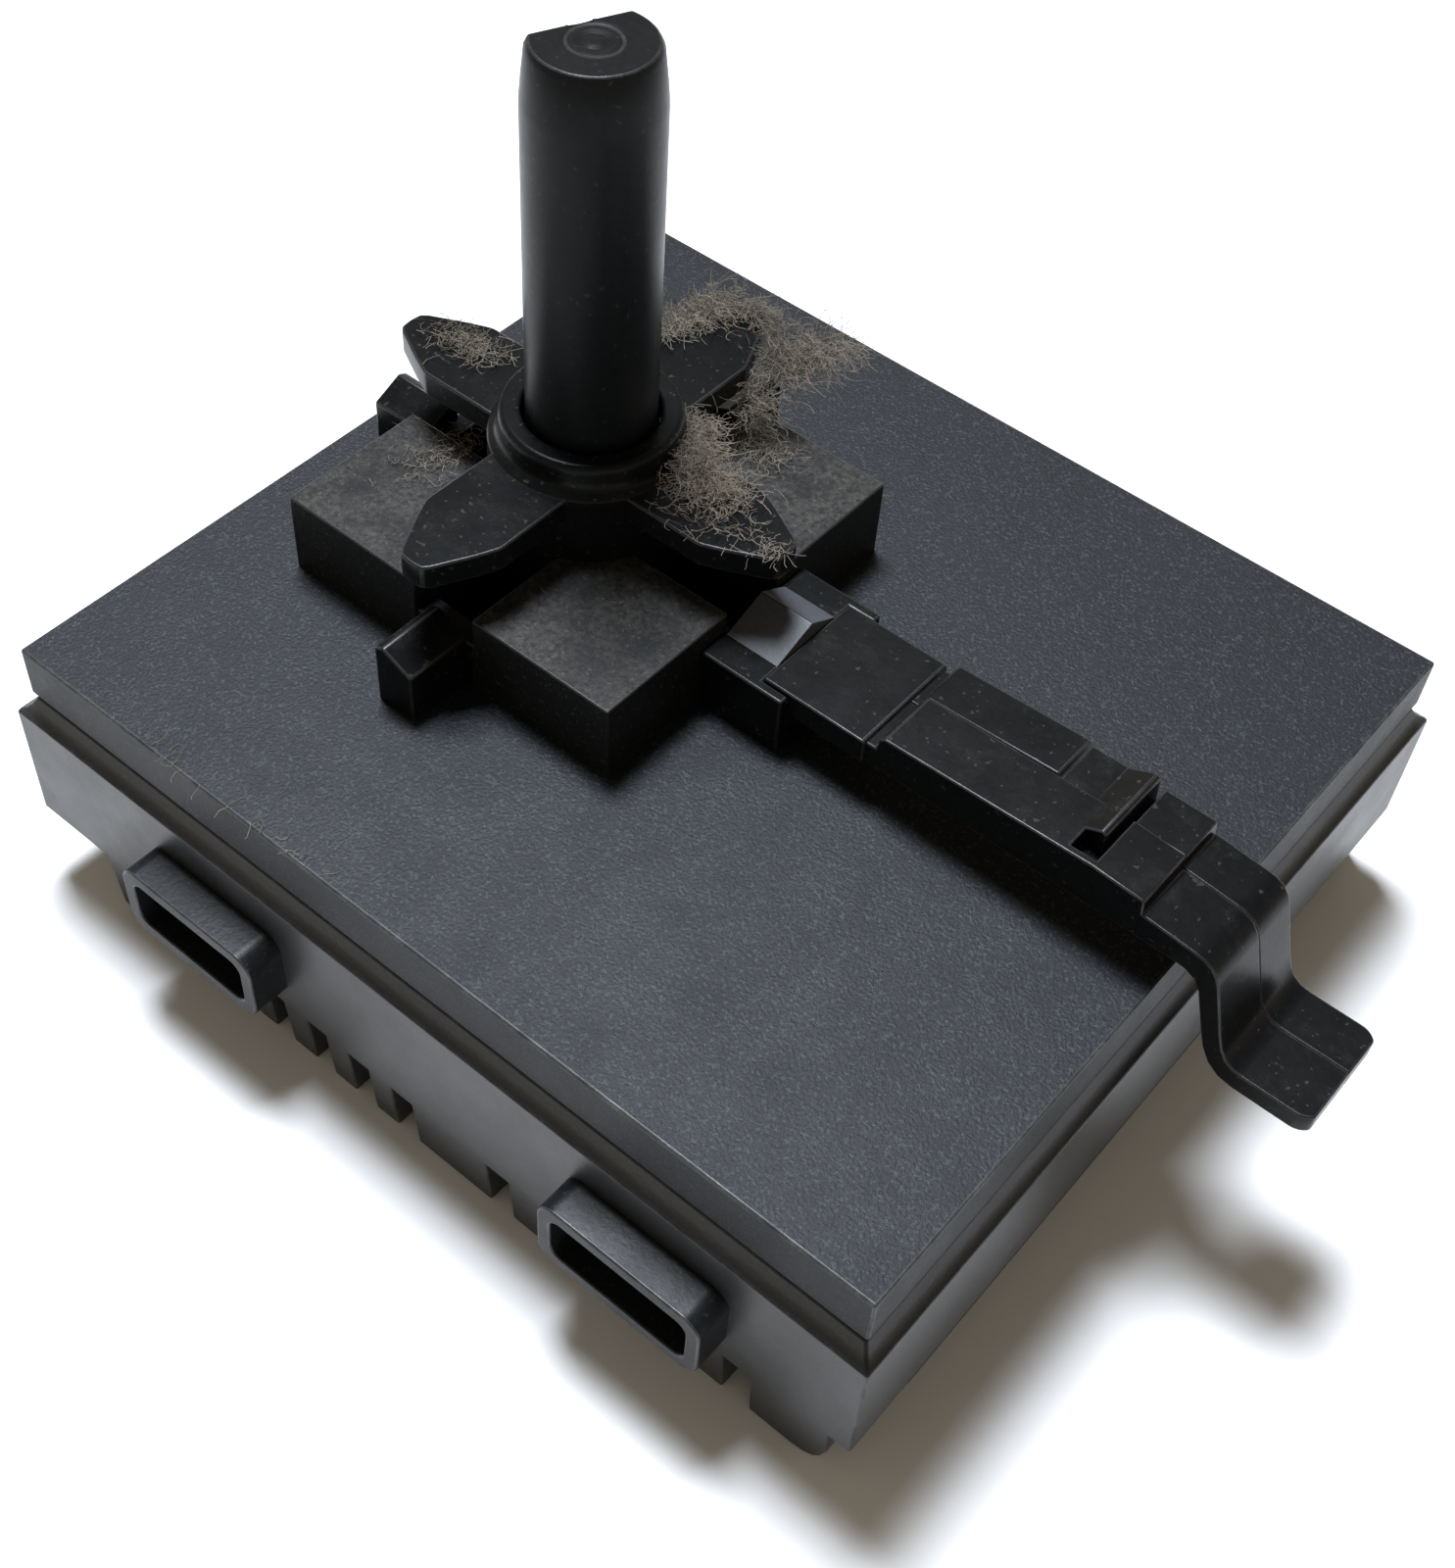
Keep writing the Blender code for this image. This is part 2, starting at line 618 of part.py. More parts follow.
def build_shaft(material):
    """Return the D-shaft with its journal, ring groove, drive flat and tip dimple."""
    journal_top = BASE_FLOOR + GAP
    shaft = turned((
        (0.0, JOURNAL_BOTTOM), (JOURNAL_RADIUS - 0.3, JOURNAL_BOTTOM), (JOURNAL_RADIUS, JOURNAL_BOTTOM + 0.3),
        (JOURNAL_RADIUS, journal_top), (SHAFT_RADIUS, journal_top),
        (SHAFT_RADIUS, GROOVE_Z[0]), (GROOVE_RADIUS, GROOVE_Z[0]),
        (GROOVE_RADIUS, GROOVE_Z[1]), (SHAFT_RADIUS, GROOVE_Z[1]),
        (SHAFT_RADIUS, SHAFT_TAPER_START), (SHAFT_TIP_RADIUS + 0.05, SHAFT_TIP - 0.2),
        (SHAFT_TIP_RADIUS - 0.1, SHAFT_TIP), (0.0, SHAFT_TIP),
    ), 48)
    flat = box((FLAT_OFFSET, SHAFT_RADIUS + 1.0), (-5.0, 5.0), (FLAT_BOTTOM, SHAFT_TIP + 1.0))
    cut(shaft, rotate_about_axis(flat, FLAT_BEARING))
    cut(shaft, box((KEY_OFFSET, SHAFT_RADIUS + 1.0), (-5.0, 5.0), KEY_Z))
    cut(shaft, cylinder(DIMPLE_RADIUS, (SHAFT_TIP - DIMPLE_DEPTH, SHAFT_TIP + 1.0), 24))
    return name_part(shaft, "selector_shaft", material, smooth=True)


def build_carrier(material):
    """Return the wiper carrier; every fourth rib of its underside rises into a detent notch."""
    steps_per_notch = 4
    segments = DETENT_COUNT * steps_per_notch
    profile = (
        (2.0, CARRIER_BOTTOM), (DETENT_INNER - 0.2, CARRIER_BOTTOM), (DETENT_INNER, CARRIER_BOTTOM),
        (CARRIER_RADIUS, CARRIER_BOTTOM), (CARRIER_RADIUS, CARRIER_TOP), (HUB_RADIUS, CARRIER_TOP),
        (HUB_RADIUS, HUB_TOP), (2.0, HUB_TOP),
    )
    carrier = turned(profile, segments)
    notch_width = 0.5 * math.tau / segments
    for vertex in carrier.data.vertices:
        radius = math.hypot(vertex.co.x, vertex.co.y) / MM
        bearing = math.atan2(vertex.co.y, vertex.co.x)
        place = (bearing * DETENT_COUNT / math.tau) % 1.0
        in_notch = min(place, 1.0 - place) < notch_width * DETENT_COUNT / math.tau
        if in_notch and radius > DETENT_INNER - 0.01 and vertex.co.z < (CARRIER_BOTTOM + 0.1) * MM:
            vertex.co.z += DETENT_DEPTH * MM
    bore = cylinder(BORE_RADIUS, (CARRIER_BOTTOM - 1.0, HUB_TOP + 1.0), 48)
    cut(bore, box((KEY_OFFSET + GAP, BORE_RADIUS + 1.0), (-5.0, 5.0), (CARRIER_BOTTOM - 2.0, HUB_TOP + 2.0)))
    cut(carrier, bore)
    return name_part(carrier, "wiper_carrier", material)


def build_leaf(name, radius, bearing, material):
    """Return one bent wiper leaf that reaches from the carrier down to its track."""
    half = LEAF_THICKNESS / 2
    outline = [(y, z - half) for y, z in LEAF_PATH] + [(y, z + half) for y, z in reversed(LEAF_PATH)]
    leaf = prism(outline, radius - LEAF_WIDTH / 2, radius + LEAF_WIDTH / 2, "X")
    rotate_about_axis(leaf, bearing)
    return name_part(leaf, name, material)


def build_spring(material):
    """Return the detent spring: a round wire wound upwards with both ends closed."""
    mesh_data = bmesh.new()
    steps_per_turn = 14
    wire_sides = 6
    steps = SPRING_TURNS * steps_per_turn
    rings = []
    for step in range(steps + 1):
        angle = math.tau * step / steps_per_turn
        height = SPRING_Z[0] + (SPRING_Z[1] - SPRING_Z[0]) * step / steps
        ring = []
        for side in range(wire_sides):
            turn = math.tau * side / wire_sides
            radius = SPRING_RADIUS + SPRING_WIRE * math.cos(turn)
            point = (
                radius * math.cos(angle),
                DETENT_Y + radius * math.sin(angle),
                height + SPRING_WIRE * math.sin(turn),
            )
            ring.append(mesh_data.verts.new(point))
        rings.append(ring)
    mesh_data.faces.new(rings[0])
    mesh_data.faces.new(rings[-1])
    for near, far in zip(rings, rings[1:]):
        for side in range(wire_sides):
            following = (side + 1) % wire_sides
            mesh_data.faces.new((near[side], near[following], far[following], far[side]))
    return name_part(object_from(mesh_data), "detent_spring", material, smooth=True)


def build_plunger(material):
    """Return the domed detent plunger with its origin on its sliding axis."""
    bottom, top = PLUNGER_Z
    plunger = turned((
        (0.0, bottom), (PLUNGER_RADIUS - 0.2, bottom), (PLUNGER_RADIUS, bottom + 0.2),
        (PLUNGER_RADIUS, top - 0.8), (1.2, top - 0.4), (0.8, top - 0.15), (0.4, top - 0.03), (0.0, top),
    ), 24, (0.0, DETENT_Y))
    name_part(plunger, "detent_plunger", material, smooth=True)
    move_origin(plunger, (0.0, DETENT_Y, bottom))
    return plunger


def build_small_parts(board_metal, steel, nylon, ceramic):
    """Return tracks, washer, retaining ring and chip resistors."""
    for name, inner, outer in TRACKS:
        name_part(tube((inner, outer), TRACK_Z, 48), name, board_metal)
    name_part(tube(WASHER_RADII, WASHER_Z, 40), "thrust_washer", nylon)
    ring = tube(RING_RADII, RING_Z, 40)
    half = math.radians(RING_OPENING / 2)
    reach = 8.0
    wedge = ((0.0, 0.0), (reach, -reach * math.tan(half)), (reach, reach * math.tan(half)))
    cut(ring, prism(wedge, RING_Z[0] - 1.0, RING_Z[1] + 1.0))
    name_part(ring, "retaining_ring", steel)
    length, width, height = CHIP_SIZE
    base_z = BOARD_Z[1] + GAP
    for index, (x, y) in enumerate(CHIP_CENTRES):
        chip = frustum(
            (x - length / 2, x + length / 2), (y - width / 2, y + width / 2), (base_z, base_z + height), 0.1)
        name_part(chip, "chip_resistor_%d" % (index + 1), ceramic)


def build_all():
    """Build every part of the switch."""
    clear_scene()
    cover_plastic = make_material("cover_plastic", (0.045, 0.050, 0.058), 0.62)
    base_plastic = make_material("base_plastic", (0.035, 0.036, 0.040), 0.38)
    arm_plastic = make_material("arm_plastic", (0.022, 0.023, 0.026), 0.42)
    shaft_plastic = make_material("shaft_plastic", (0.016, 0.016, 0.018), 0.35)
    header_plastic = make_material("header_plastic", (0.020, 0.020, 0.022), 0.50)
    carrier_plastic = make_material("carrier_plastic", (0.55, 0.53, 0.47), 0.45)
    nylon = make_material("nylon", (0.70, 0.68, 0.62), 0.50)
    laminate = make_material("laminate", (0.30, 0.21, 0.10), 0.55)
    contact_brass = make_material("contact_brass", (0.72, 0.53, 0.22), 0.30, 1.0)
    pin_tin = make_material("pin_tin", (0.66, 0.66, 0.67), 0.32, 1.0)
    spring_steel = make_material("spring_steel", (0.50, 0.50, 0.52), 0.30, 1.0)
    ceramic = make_material("ceramic", (0.06, 0.06, 0.06), 0.40)

    build_cover(cover_plastic)
    build_latch_arm(arm_plastic)
    build_base(base_plastic)
    build_shaft(shaft_plastic)
    build_carrier(carrier_plastic)
    build_board(laminate)
    build_headers(header_plastic)
    build_pins(pin_tin)
    for name, radius, bearing in LEAVES:
        build_leaf(name, radius, bearing, contact_brass)
    build_plunger(nylon)
    build_spring(spring_steel)
    build_small_parts(contact_brass, spring_steel, nylon, ceramic)


build_all()
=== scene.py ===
"""Looks of the rotary selector switch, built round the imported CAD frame.

Shapes are in millimetres in the frame of the part: shaft axis at x = y = 0, rest plane at z = 0.
"""

import math
import random

import bmesh
import bpy
from mathutils import Matrix, Vector


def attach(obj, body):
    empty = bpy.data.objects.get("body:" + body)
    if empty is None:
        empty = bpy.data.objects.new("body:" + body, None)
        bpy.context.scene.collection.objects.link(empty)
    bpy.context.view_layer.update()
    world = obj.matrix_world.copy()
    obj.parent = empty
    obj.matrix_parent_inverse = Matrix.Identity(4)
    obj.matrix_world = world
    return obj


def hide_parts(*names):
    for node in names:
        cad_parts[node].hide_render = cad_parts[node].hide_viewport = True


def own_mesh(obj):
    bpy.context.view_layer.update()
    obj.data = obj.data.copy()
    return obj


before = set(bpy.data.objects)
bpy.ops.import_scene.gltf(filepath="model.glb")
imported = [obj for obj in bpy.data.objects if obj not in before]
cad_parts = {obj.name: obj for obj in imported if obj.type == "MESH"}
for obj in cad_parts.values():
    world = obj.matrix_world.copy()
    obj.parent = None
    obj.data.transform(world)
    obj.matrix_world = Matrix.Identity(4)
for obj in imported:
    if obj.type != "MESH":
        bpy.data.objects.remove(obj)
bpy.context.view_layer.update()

MM = 0.001

# Cover
COVER_X = (-15.0, 34.2)
COVER_Y = (-22.15, 22.15)
COVER_TOP = 15.3
COVER_INSIDE = 13.7
SKIRT_BOTTOM = 12.4
LIP_X = (-13.67, 32.87)
LIP_Y = (-20.8, 20.8)
LIP_BOTTOM = 9.8
LIP_WALL = 1.2
SINK = 0.4
PAD_OUTER = 9.85
PAD_INNER = 1.8
PAD_TOP = 19.65
RAMP_X = (9.6, 13.2)
RAMP_OUTLINE = (
    (-0.95, COVER_TOP - SINK), (1.25, COVER_TOP - SINK), (1.25, COVER_TOP + 2.75),
    (-0.45, COVER_TOP + 3.55), (-0.95, COVER_TOP + 3.3),
)
WEB_DEPTH = 1.0
WEB_HEIGHT = 2.6
BOSS_RADIUS = 4.75
BOSS_TOP = 23.3
BORE_RADIUS = 3.2
COLLAR_PROFILE = (
    (BORE_RADIUS, COVER_TOP - SINK), (BOSS_RADIUS, COVER_TOP - SINK), (BOSS_RADIUS, 23.18), (4.72, 23.3),
    (4.62, 23.4), (4.5, 23.47), (4.4, 23.57), (4.33, 23.72), (4.28, 24.0), (4.24, 24.35), (4.21, 24.55),
    (4.15, 24.68), (4.05, 24.77), (3.9, 24.8), (3.5, 24.8), (3.32, 24.79), (3.26, 24.755), (3.215, 24.7),
    (BORE_RADIUS, 24.6),
)
TAB_THICKNESS = 1.3
TAB_OUTLINE = ((3.6, 2.28), (8.2, 2.3), (8.45, 2.24), (9.4, 1.82), (11.2, 0.88), (11.5, 0.62), (11.56, 0.2))

# Arm root and latch arm; arm heights are above the cover
ROOT_X = (9.9, 14.45)
ROOT_HALF_WIDTH = 3.65
ROOT_HEIGHT = 3.36
ROOT_SEAT = 3.04
RIDGE_END = 13.0
RIDGE_HALF_WIDTH = 2.2
RIDGE_Y = 0.35
RIDGE_TOP = 4.3
ARM_HALF_WIDTH = 2.9
ARM_PLATE_HALF_WIDTH = 3.08
ARM_PLATE_TOP = 3.5
ARM_SEAM = 0.35
ARM_FLOOR = 2.2
PLATE_FRONT = 18.62
PLATE_SEAT_X = (13.04, 14.5)
NEAR_TOP = ((19.45, 4.2), (30.0, 4.62))
NEAR_REAR = 4.46
NEAR_LIFT = 0.03
FAR_TOP = ((19.45, 4.14), (26.2, 4.52), (26.32, 4.28), (30.0, 4.34))
FAR_REAR = 4.34
STRIP_START = ((18.3, 3.34), (19.1, 3.34), (19.2, 3.98))
REAR_END = 32.5
STRIP_BEND = (
    (32.68, 3.62), (32.9, 3.62), (35.2, 3.42), (35.75, 3.34), (36.2, 3.12), (36.5, 2.75), (36.7, 2.3),
    (37.55, -0.5), (37.8, -1.2), (38.1, -1.65), (38.5, -1.92), (39.0, -2.0), (40.5, -2.0), (42.3, -2.0),
)
STRIP_UNDERSIDE = (
    (42.3, -3.05), (38.7, -3.05), (38.0, -2.9), (37.4, -2.45), (36.95, -1.7), (36.6, -0.7),
    (35.95, 1.35), (35.6, 1.9), (35.1, 2.15), (34.5, ARM_FLOOR), (18.3, ARM_FLOOR),
)
CATCH_X = (28.75, 30.02)
CATCH_NEAR_Y = -2.5
CATCH_FLOOR = 3.5
TOOTH_OUTLINE = ((28.1, 3.3), (29.8, 3.3), (29.72, 4.86), (29.48, 5.0), (28.1, 4.3))
TOOTH_NEAR_Y = -1.4
TAB_END_X = 42.5
TAB_CORNER_RADIUS = 1.0

# Base
BASE_X = (-15.67, 34.87)
BASE_Y = (-22.8, 22.8)
BASE_BOTTOM = 4.15
BASE_FLOOR = 5.35
BASE_WALL = 1.7
LEDGE_BOTTOM = 11.2
LEDGE_TOP = 12.1
TRAY_LEVELS = (
    (BASE_BOTTOM, 0.0), (LEDGE_BOTTOM, 0.0), (LEDGE_BOTTOM + 0.12, 0.28),
    (LEDGE_BOTTOM + 0.4, 0.52), (LEDGE_TOP, 0.8),
)
SOCKET_SPANS = ((-6.7, 1.9), (19.3, 28.2))
SOCKET_Z = (4.6, 8.95)
SOCKET_FACE_Y = -24.7
SOCKET_BACK_Y = -19.0
SOCKET_BLIND_Y = -19.9
SOCKET_RING = 0.75
RAIL_X = (-11.0, 33.8)
RAIL_THICKNESS = 2.0
RAIL_DRAFT = 0.3
RAIL_END = ((31.9, 0.0), (32.6, 0.15), (33.1, 0.5), (33.45, 1.1), (33.7, 1.9), (33.8, 3.0))
RAIL_NOTCHES = ((0.15, 1.3), (2.9, 4.1), (5.6, 6.9), (8.4, 9.7), (14.35, 15.7), (28.1, 29.6))
NOTCH_TOP = 3.5
FEET_X = ((-11.0, -3.0), (25.8, 33.8))
SIDE_PITCH = 2.5
SIDE_COUNT = 10
SIDE_FIRST_Y = -18.2
SIDE_TOOTH_X = (BASE_X[1] - 1.2, BASE_X[1] - 0.12)
HUB_RADIUS = 5.5
BEARING_RADIUS = 2.6
FRONT_WINDOW = ((-0.3, 16.0), (-17.7, -16.1))
SIDE_WINDOW = ((30.0, 31.6), (-19.2, 5.3))

# Shaft
SHAFT_RADIUS = 3.0
SHAFT_TIP = 43.0
SHAFT_SEGMENTS = 64
SHAFT_PROFILE = (
    (0.0, 1.3), (2.0, 1.3), (2.3, 1.6), (2.3, 5.65), (SHAFT_RADIUS, 5.65), (SHAFT_RADIUS, 8.9), (2.6, 8.9),
    (2.6, 9.8), (SHAFT_RADIUS, 9.8), (SHAFT_RADIUS, 40.2), (2.985, 40.6), (2.92, 41.3), (2.83, 42.1),
    (2.76, 42.7), (2.6, SHAFT_TIP), (1.45, SHAFT_TIP), (1.15, 42.9), (1.0, 42.94), (0.84, 42.94),
    (0.64, 42.87), (0.5, 42.87), (0.32, 42.93), (0.2, 42.93), (0.0, 42.88),
)
FLAT_OFFSET = 1.35
FLAT_BEARING = 157.0
FLAT_BOTTOM = 27.0
CARRIER_FLAT_X = (2.2, 4.0)
CARRIER_FLAT_Z = (9.95, 12.45)

# Detent spring
SPRING_CENTRE = (0.0, 10.3)
SPRING_RADIUS = 1.15
SPRING_WIRE = 0.16
SPRING_Z = (5.82, 7.44)
SPRING_TURNS = 4

# Camera
CAMERA_PLACE = (49.90, -55.97, 88.68)
CAMERA_RIGHT = (0.76777, 0.63836, 0.05508)
CAMERA_DOWN = (0.51897, -0.56914, -0.63777)
CAMERA_FORWARD = (-0.37578, 0.51825, -0.76825)
CAMERA_LENS = 49.51

# Floor and light
FLOOR_SIZE = 900.0
FLOOR_Z = -0.02
HORIZON_LIGHT = (0.54, 0.46, 0.34)
ZENITH_LIGHT = (0.15, 0.135, 0.115)
SKY_BAND = (0.1, 0.75)
KEY_PLACE = (-88.0, 55.0, 380.0)
KEY_SIZE = 105.0
KEY_POWER = 2.8
KEY_COLOUR = (0.92, 0.98, 1.08)

# Lint: centre, spread, lowest height, number of fibres, fibre length
LINT_SEED = 11
LINT_DENSITY = 1.5
LINT_CLUMPS = (
    ((3.7, 3.0, 23.7), (0.5, 0.55, 0.20), 23.4, 180, 1.1),
    ((5.0, 1.4, 23.7), (0.6, 0.7, 0.25), 23.4, 330, 1.2),
    ((6.6, 0.8, 23.6), (0.9, 0.55, 0.20), 23.4, 380, 1.2),
    ((6.9, -0.7, 23.5), (1.5, 0.7, 0.04), 23.4, 90, 0.8),
    ((10.8, -0.4, 23.5), (0.5, 0.3, 0.05), 23.2, 30, 0.8),
    ((4.4, 7.6, 19.9), (0.9, 0.7, 0.08), 19.75, 110, 1.0),
    ((-1.9, 8.6, 23.6), (0.35, 0.9, 0.20), 23.4, 220, 1.1),
    ((-1.4, 10.4, 23.6), (0.55, 0.6, 0.25), 23.0, 240, 1.2),
    ((0.2, 11.5, 23.5), (0.7, 0.3, 0.25), 22.6, 200, 1.2),
    ((2.8, 10.9, 22.6), (0.8, 0.8, 0.45), 19.8, 420, 1.5),
    ((4.2, 12.6, 22.9), (0.7, 0.6, 0.30), 19.8, 130, 1.7),
    ((3.2, 8.3, 21.4), (0.4, 0.6, 0.70), 19.75, 160, 1.2),
    ((-8.2, 0.5, 23.5), (1.0, 0.6, 0.06), 23.4, 190, 0.9),
    ((-6.7, -2.8, 19.8), (0.7, 1.2, 0.04), 19.75, 110, 0.8),
    ((0.0, -22.05, 15.4), (4.0, 0.10, 0.02), 15.36, 16, 0.9),
)

BEVEL_ANGLE = math.radians(32.0)
SHARP_ANGLE = math.radians(50.0)
FLAT_ANGLE = math.radians(0.8)
COLLAR_SEGMENTS = 128


# ---------------------------------------------------------------- shapes

def object_from(mesh_data, name="solid"):
    """Turn a bmesh measured in millimetres into a linked object in metres."""
    bmesh.ops.scale(mesh_data, vec=(MM, MM, MM), verts=mesh_data.verts)
    bmesh.ops.recalc_face_normals(mesh_data, faces=mesh_data.faces)
    mesh = bpy.data.meshes.new(name)
    mesh_data.to_mesh(mesh)
    mesh_data.free()
    made = bpy.data.objects.new(name, mesh)
    bpy.context.collection.objects.link(made)
    return made


def prism(outline, start, end, axis="Z"):
    """Extrude a closed outline along an axis: (x, y) for Z, (y, z) for X, (x, z) for Y."""
    place = {
        "Z": lambda u, v, w: (u, v, w),
        "X": lambda u, v, w: (w, u, v),
        "Y": lambda u, v, w: (u, w, v),
    }[axis]
    mesh_data = bmesh.new()
    lower = [mesh_data.verts.new(place(u, v, start)) for u, v in outline]
    upper = [mesh_data.verts.new(place(u, v, end)) for u, v in outline]
    mesh_data.faces.new(lower)
    mesh_data.faces.new(upper)
    count = len(outline)
    for index in range(count):
        following = (index + 1) % count
        mesh_data.faces.new((lower[index], lower[following], upper[following], upper[index]))
    return object_from(mesh_data)


def box(x_span, y_span, z_span):
    """Return a plain block."""
    corners = (
        (x_span[0], y_span[0]), (x_span[1], y_span[0]),
        (x_span[1], y_span[1]), (x_span[0], y_span[1]),
    )
    return prism(corners, z_span[0], z_span[1])


def turned(profile, segments=96, centre=(0.0, 0.0)):
    """Revolve a profile of (radius, height) points; it is closed by its ends on the axis."""
    mesh_data = bmesh.new()
    rings = []
    for radius, height in profile:
        if radius == 0.0:
            rings.append([mesh_data.verts.new((centre[0], centre[1], height))])
            continue
        ring = []
        for step in range(segments):
            angle = math.tau * step / segments
            x = centre[0] + radius * math.cos(angle)
            y = centre[1] + radius * math.sin(angle)
            ring.append(mesh_data.verts.new((x, y, height)))
        rings.append(ring)
    pairs = list(zip(rings, rings[1:]))
    if len(rings[0]) > 1:
        pairs.append((rings[-1], rings[0]))
    for near, far in pairs:
        for step in range(segments):
            following = (step + 1) % segments
            if len(near) == 1:
                mesh_data.faces.new((near[0], far[step], far[following]))
            elif len(far) == 1:
                mesh_data.faces.new((near[step], near[following], far[0]))
            else:
                mesh_data.faces.new((near[step], near[following], far[following], far[step]))
    return object_from(mesh_data)


def cylinder(radius, z_span, segments=64, centre=(0.0, 0.0)):
    """Return a vertical cylinder."""
    profile = ((0.0, z_span[0]), (radius, z_span[0]), (radius, z_span[1]), (0.0, z_span[1]))
    return turned(profile, segments, centre)


def rounded_rectangle(u_span, v_span, radius, steps=6):
    """Return the outline of a rectangle with rounded corners."""
    corners = (
        (u_span[1] - radius, v_span[1] - radius, 0.0),
        (u_span[0] + radius, v_span[1] - radius, 90.0),
        (u_span[0] + radius, v_span[0] + radius, 180.0),
        (u_span[1] - radius, v_span[0] + radius, 270.0),
    )
    outline = []
    for centre_u, centre_v, first in corners:
        for step in range(steps + 1):
            angle = math.radians(first + 90.0 * step / steps)
            outline.append((centre_u + radius * math.cos(angle), centre_v + radius * math.sin(angle)))
    return outline


def grown(span, amount):
    """Return a span made longer by an amount at each end."""
    return (span[0] - amount, span[1] + amount)


def turn_about_axis(item, degrees):
    """Turn an object's mesh about the Z axis."""
    item.data.transform(Matrix.Rotation(math.radians(degrees), 4, "Z"))
    return item


def combine(target, tools, operation):
    """Apply one Boolean per tool to the target and remove the tools."""
    for tool in tools:
        modifier = target.modifiers.new("boolean", "BOOLEAN")
        modifier.solver = "EXACT"
        modifier.operation = operation
        modifier.object = tool
        bpy.context.view_layer.update()
        evaluated = target.evaluated_get(bpy.context.evaluated_depsgraph_get())
        result = bpy.data.meshes.new_from_object(evaluated)
        target.modifiers.clear()
        target.data = result
        bpy.data.objects.remove(tool, do_unlink=True)
    return target


def join(target, *tools):
    """Unite the tools with the target."""
    return combine(target, tools, "UNION")


def cut(target, *tools):
    """Cut the tools out of the target."""
    return combine(target, tools, "DIFFERENCE")


def assemble(*solids):
    """Put closed solids into one mesh; they may sink into each other."""
    mesh_data = bmesh.new()
    for solid in solids:
        mesh_data.from_mesh(solid.data)
        bpy.data.objects.remove(solid, do_unlink=True)
    mesh = bpy.data.meshes.new("assembly")
    mesh_data.to_mesh(mesh)
    mesh_data.free()
    made = bpy.data.objects.new("assembly", mesh)
    bpy.context.collection.objects.link(made)
    return made


def finish_piece(item, name, body, replaced, body_material, edge_material, bevel, segments=2):
    """Round a solid's edges, shade it and tie it to the CAD frame."""
    mesh_data = bmesh.new()
    mesh_data.from_mesh(item.data)
    bmesh.ops.dissolve_limit(mesh_data, angle_limit=FLAT_ANGLE, verts=mesh_data.verts, edges=mesh_data.edges)
    mesh_data.to_mesh(item.data)
    mesh_data.free()
    item.name = name
    item.data.name = name
    item.data.materials.clear()
    item.data.materials.append(body_material)
    item.data.materials.append(edge_material)
    for polygon in item.data.polygons:
        polygon.material_index = 0
    rounding = item.modifiers.new("rounding", "BEVEL")
    rounding.width = bevel * MM
    rounding.segments = segments
    rounding.limit_method = "ANGLE"
    rounding.angle_limit = BEVEL_ANGLE
    rounding.use_clamp_overlap = False
    rounding.material = 1
    item.data.shade_smooth()
    item.data.set_sharp_from_angle(angle=SHARP_ANGLE)
    weights = item.modifiers.new("weights", "WEIGHTED_NORMAL")
    weights.keep_sharp = False
    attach(item, body)
    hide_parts(*replaced)
    return item


# ---------------------------------------------------------------- materials

def node_material(name):
    """Return an empty node material with its node tree, shader and millimetre coordinates."""
    made = bpy.data.materials.new(name)
    made.use_nodes = True
    tree = made.node_tree
    shader = tree.nodes["Principled BSDF"]
    place = tree.nodes.new("ShaderNodeTexCoord")
    to_mm = tree.nodes.new("ShaderNodeMapping")
    to_mm.inputs["Scale"].default_value = (1000.0, 1000.0, 1000.0)
    tree.links.new(place.outputs["Object"], to_mm.inputs["Vector"])
    return made, tree, shader, to_mm.outputs["Vector"]


def noise(tree, vector, scale, detail=4.0, roughness=0.55, stretch=None):
    """Return a noise value; the scale is in cycles per millimetre."""
    if stretch:
        mapping = tree.nodes.new("ShaderNodeMapping")
        mapping.inputs["Scale"].default_value = stretch
        tree.links.new(vector, mapping.inputs["Vector"])
        vector = mapping.outputs["Vector"]
    made = tree.nodes.new("ShaderNodeTexNoise")
    made.inputs["Scale"].default_value = scale
    made.inputs["Detail"].default_value = detail
    made.inputs["Roughness"].default_value = roughness
    tree.links.new(vector, made.inputs["Vector"])
    return made.outputs["Fac"]


def ramp(tree, value, low, high, start=0.0, end=1.0):
    """Map a value between two limits to a range, clamped."""
    made = tree.nodes.new("ShaderNodeMapRange")
    made.inputs["From Min"].default_value = low
    made.inputs["From Max"].default_value = high
    made.inputs["To Min"].default_value = start
    made.inputs["To Max"].default_value = end
    tree.links.new(value, made.inputs["Value"])
    return made.outputs["Result"]


def blend_colours(tree, factor, first, second):
    """Mix two colours; each is a tuple or an output."""
    made = tree.nodes.new("ShaderNodeMix")
    made.data_type = "RGBA"
    tree.links.new(factor, made.inputs["Factor"])
    for socket, value in ((made.inputs[6], first), (made.inputs[7], second)):
        if isinstance(value, tuple):
            socket.default_value = (*value, 1.0)
        else:
            tree.links.new(value, socket)
    return made.outputs[2]


def combine_values(tree, operation, first, second):
    """Return a math node's value; each input is a number or an output."""
    made = tree.nodes.new("ShaderNodeMath")
    made.operation = operation
    for socket, value in zip(made.inputs, (first, second)):
        if isinstance(value, (int, float)):
            socket.default_value = value
        else:
            tree.links.new(value, socket)
    return made.outputs[0]


def bump(tree, shader, height, strength, distance_mm):
    """Drive the shader's normal from a height."""
    made = tree.nodes.new("ShaderNodeBump")
    made.inputs["Strength"].default_value = strength
    made.inputs["Distance"].default_value = distance_mm * MM
    tree.links.new(height, made.inputs["Height"])
    tree.links.new(made.outputs["Normal"], shader.inputs["Normal"])


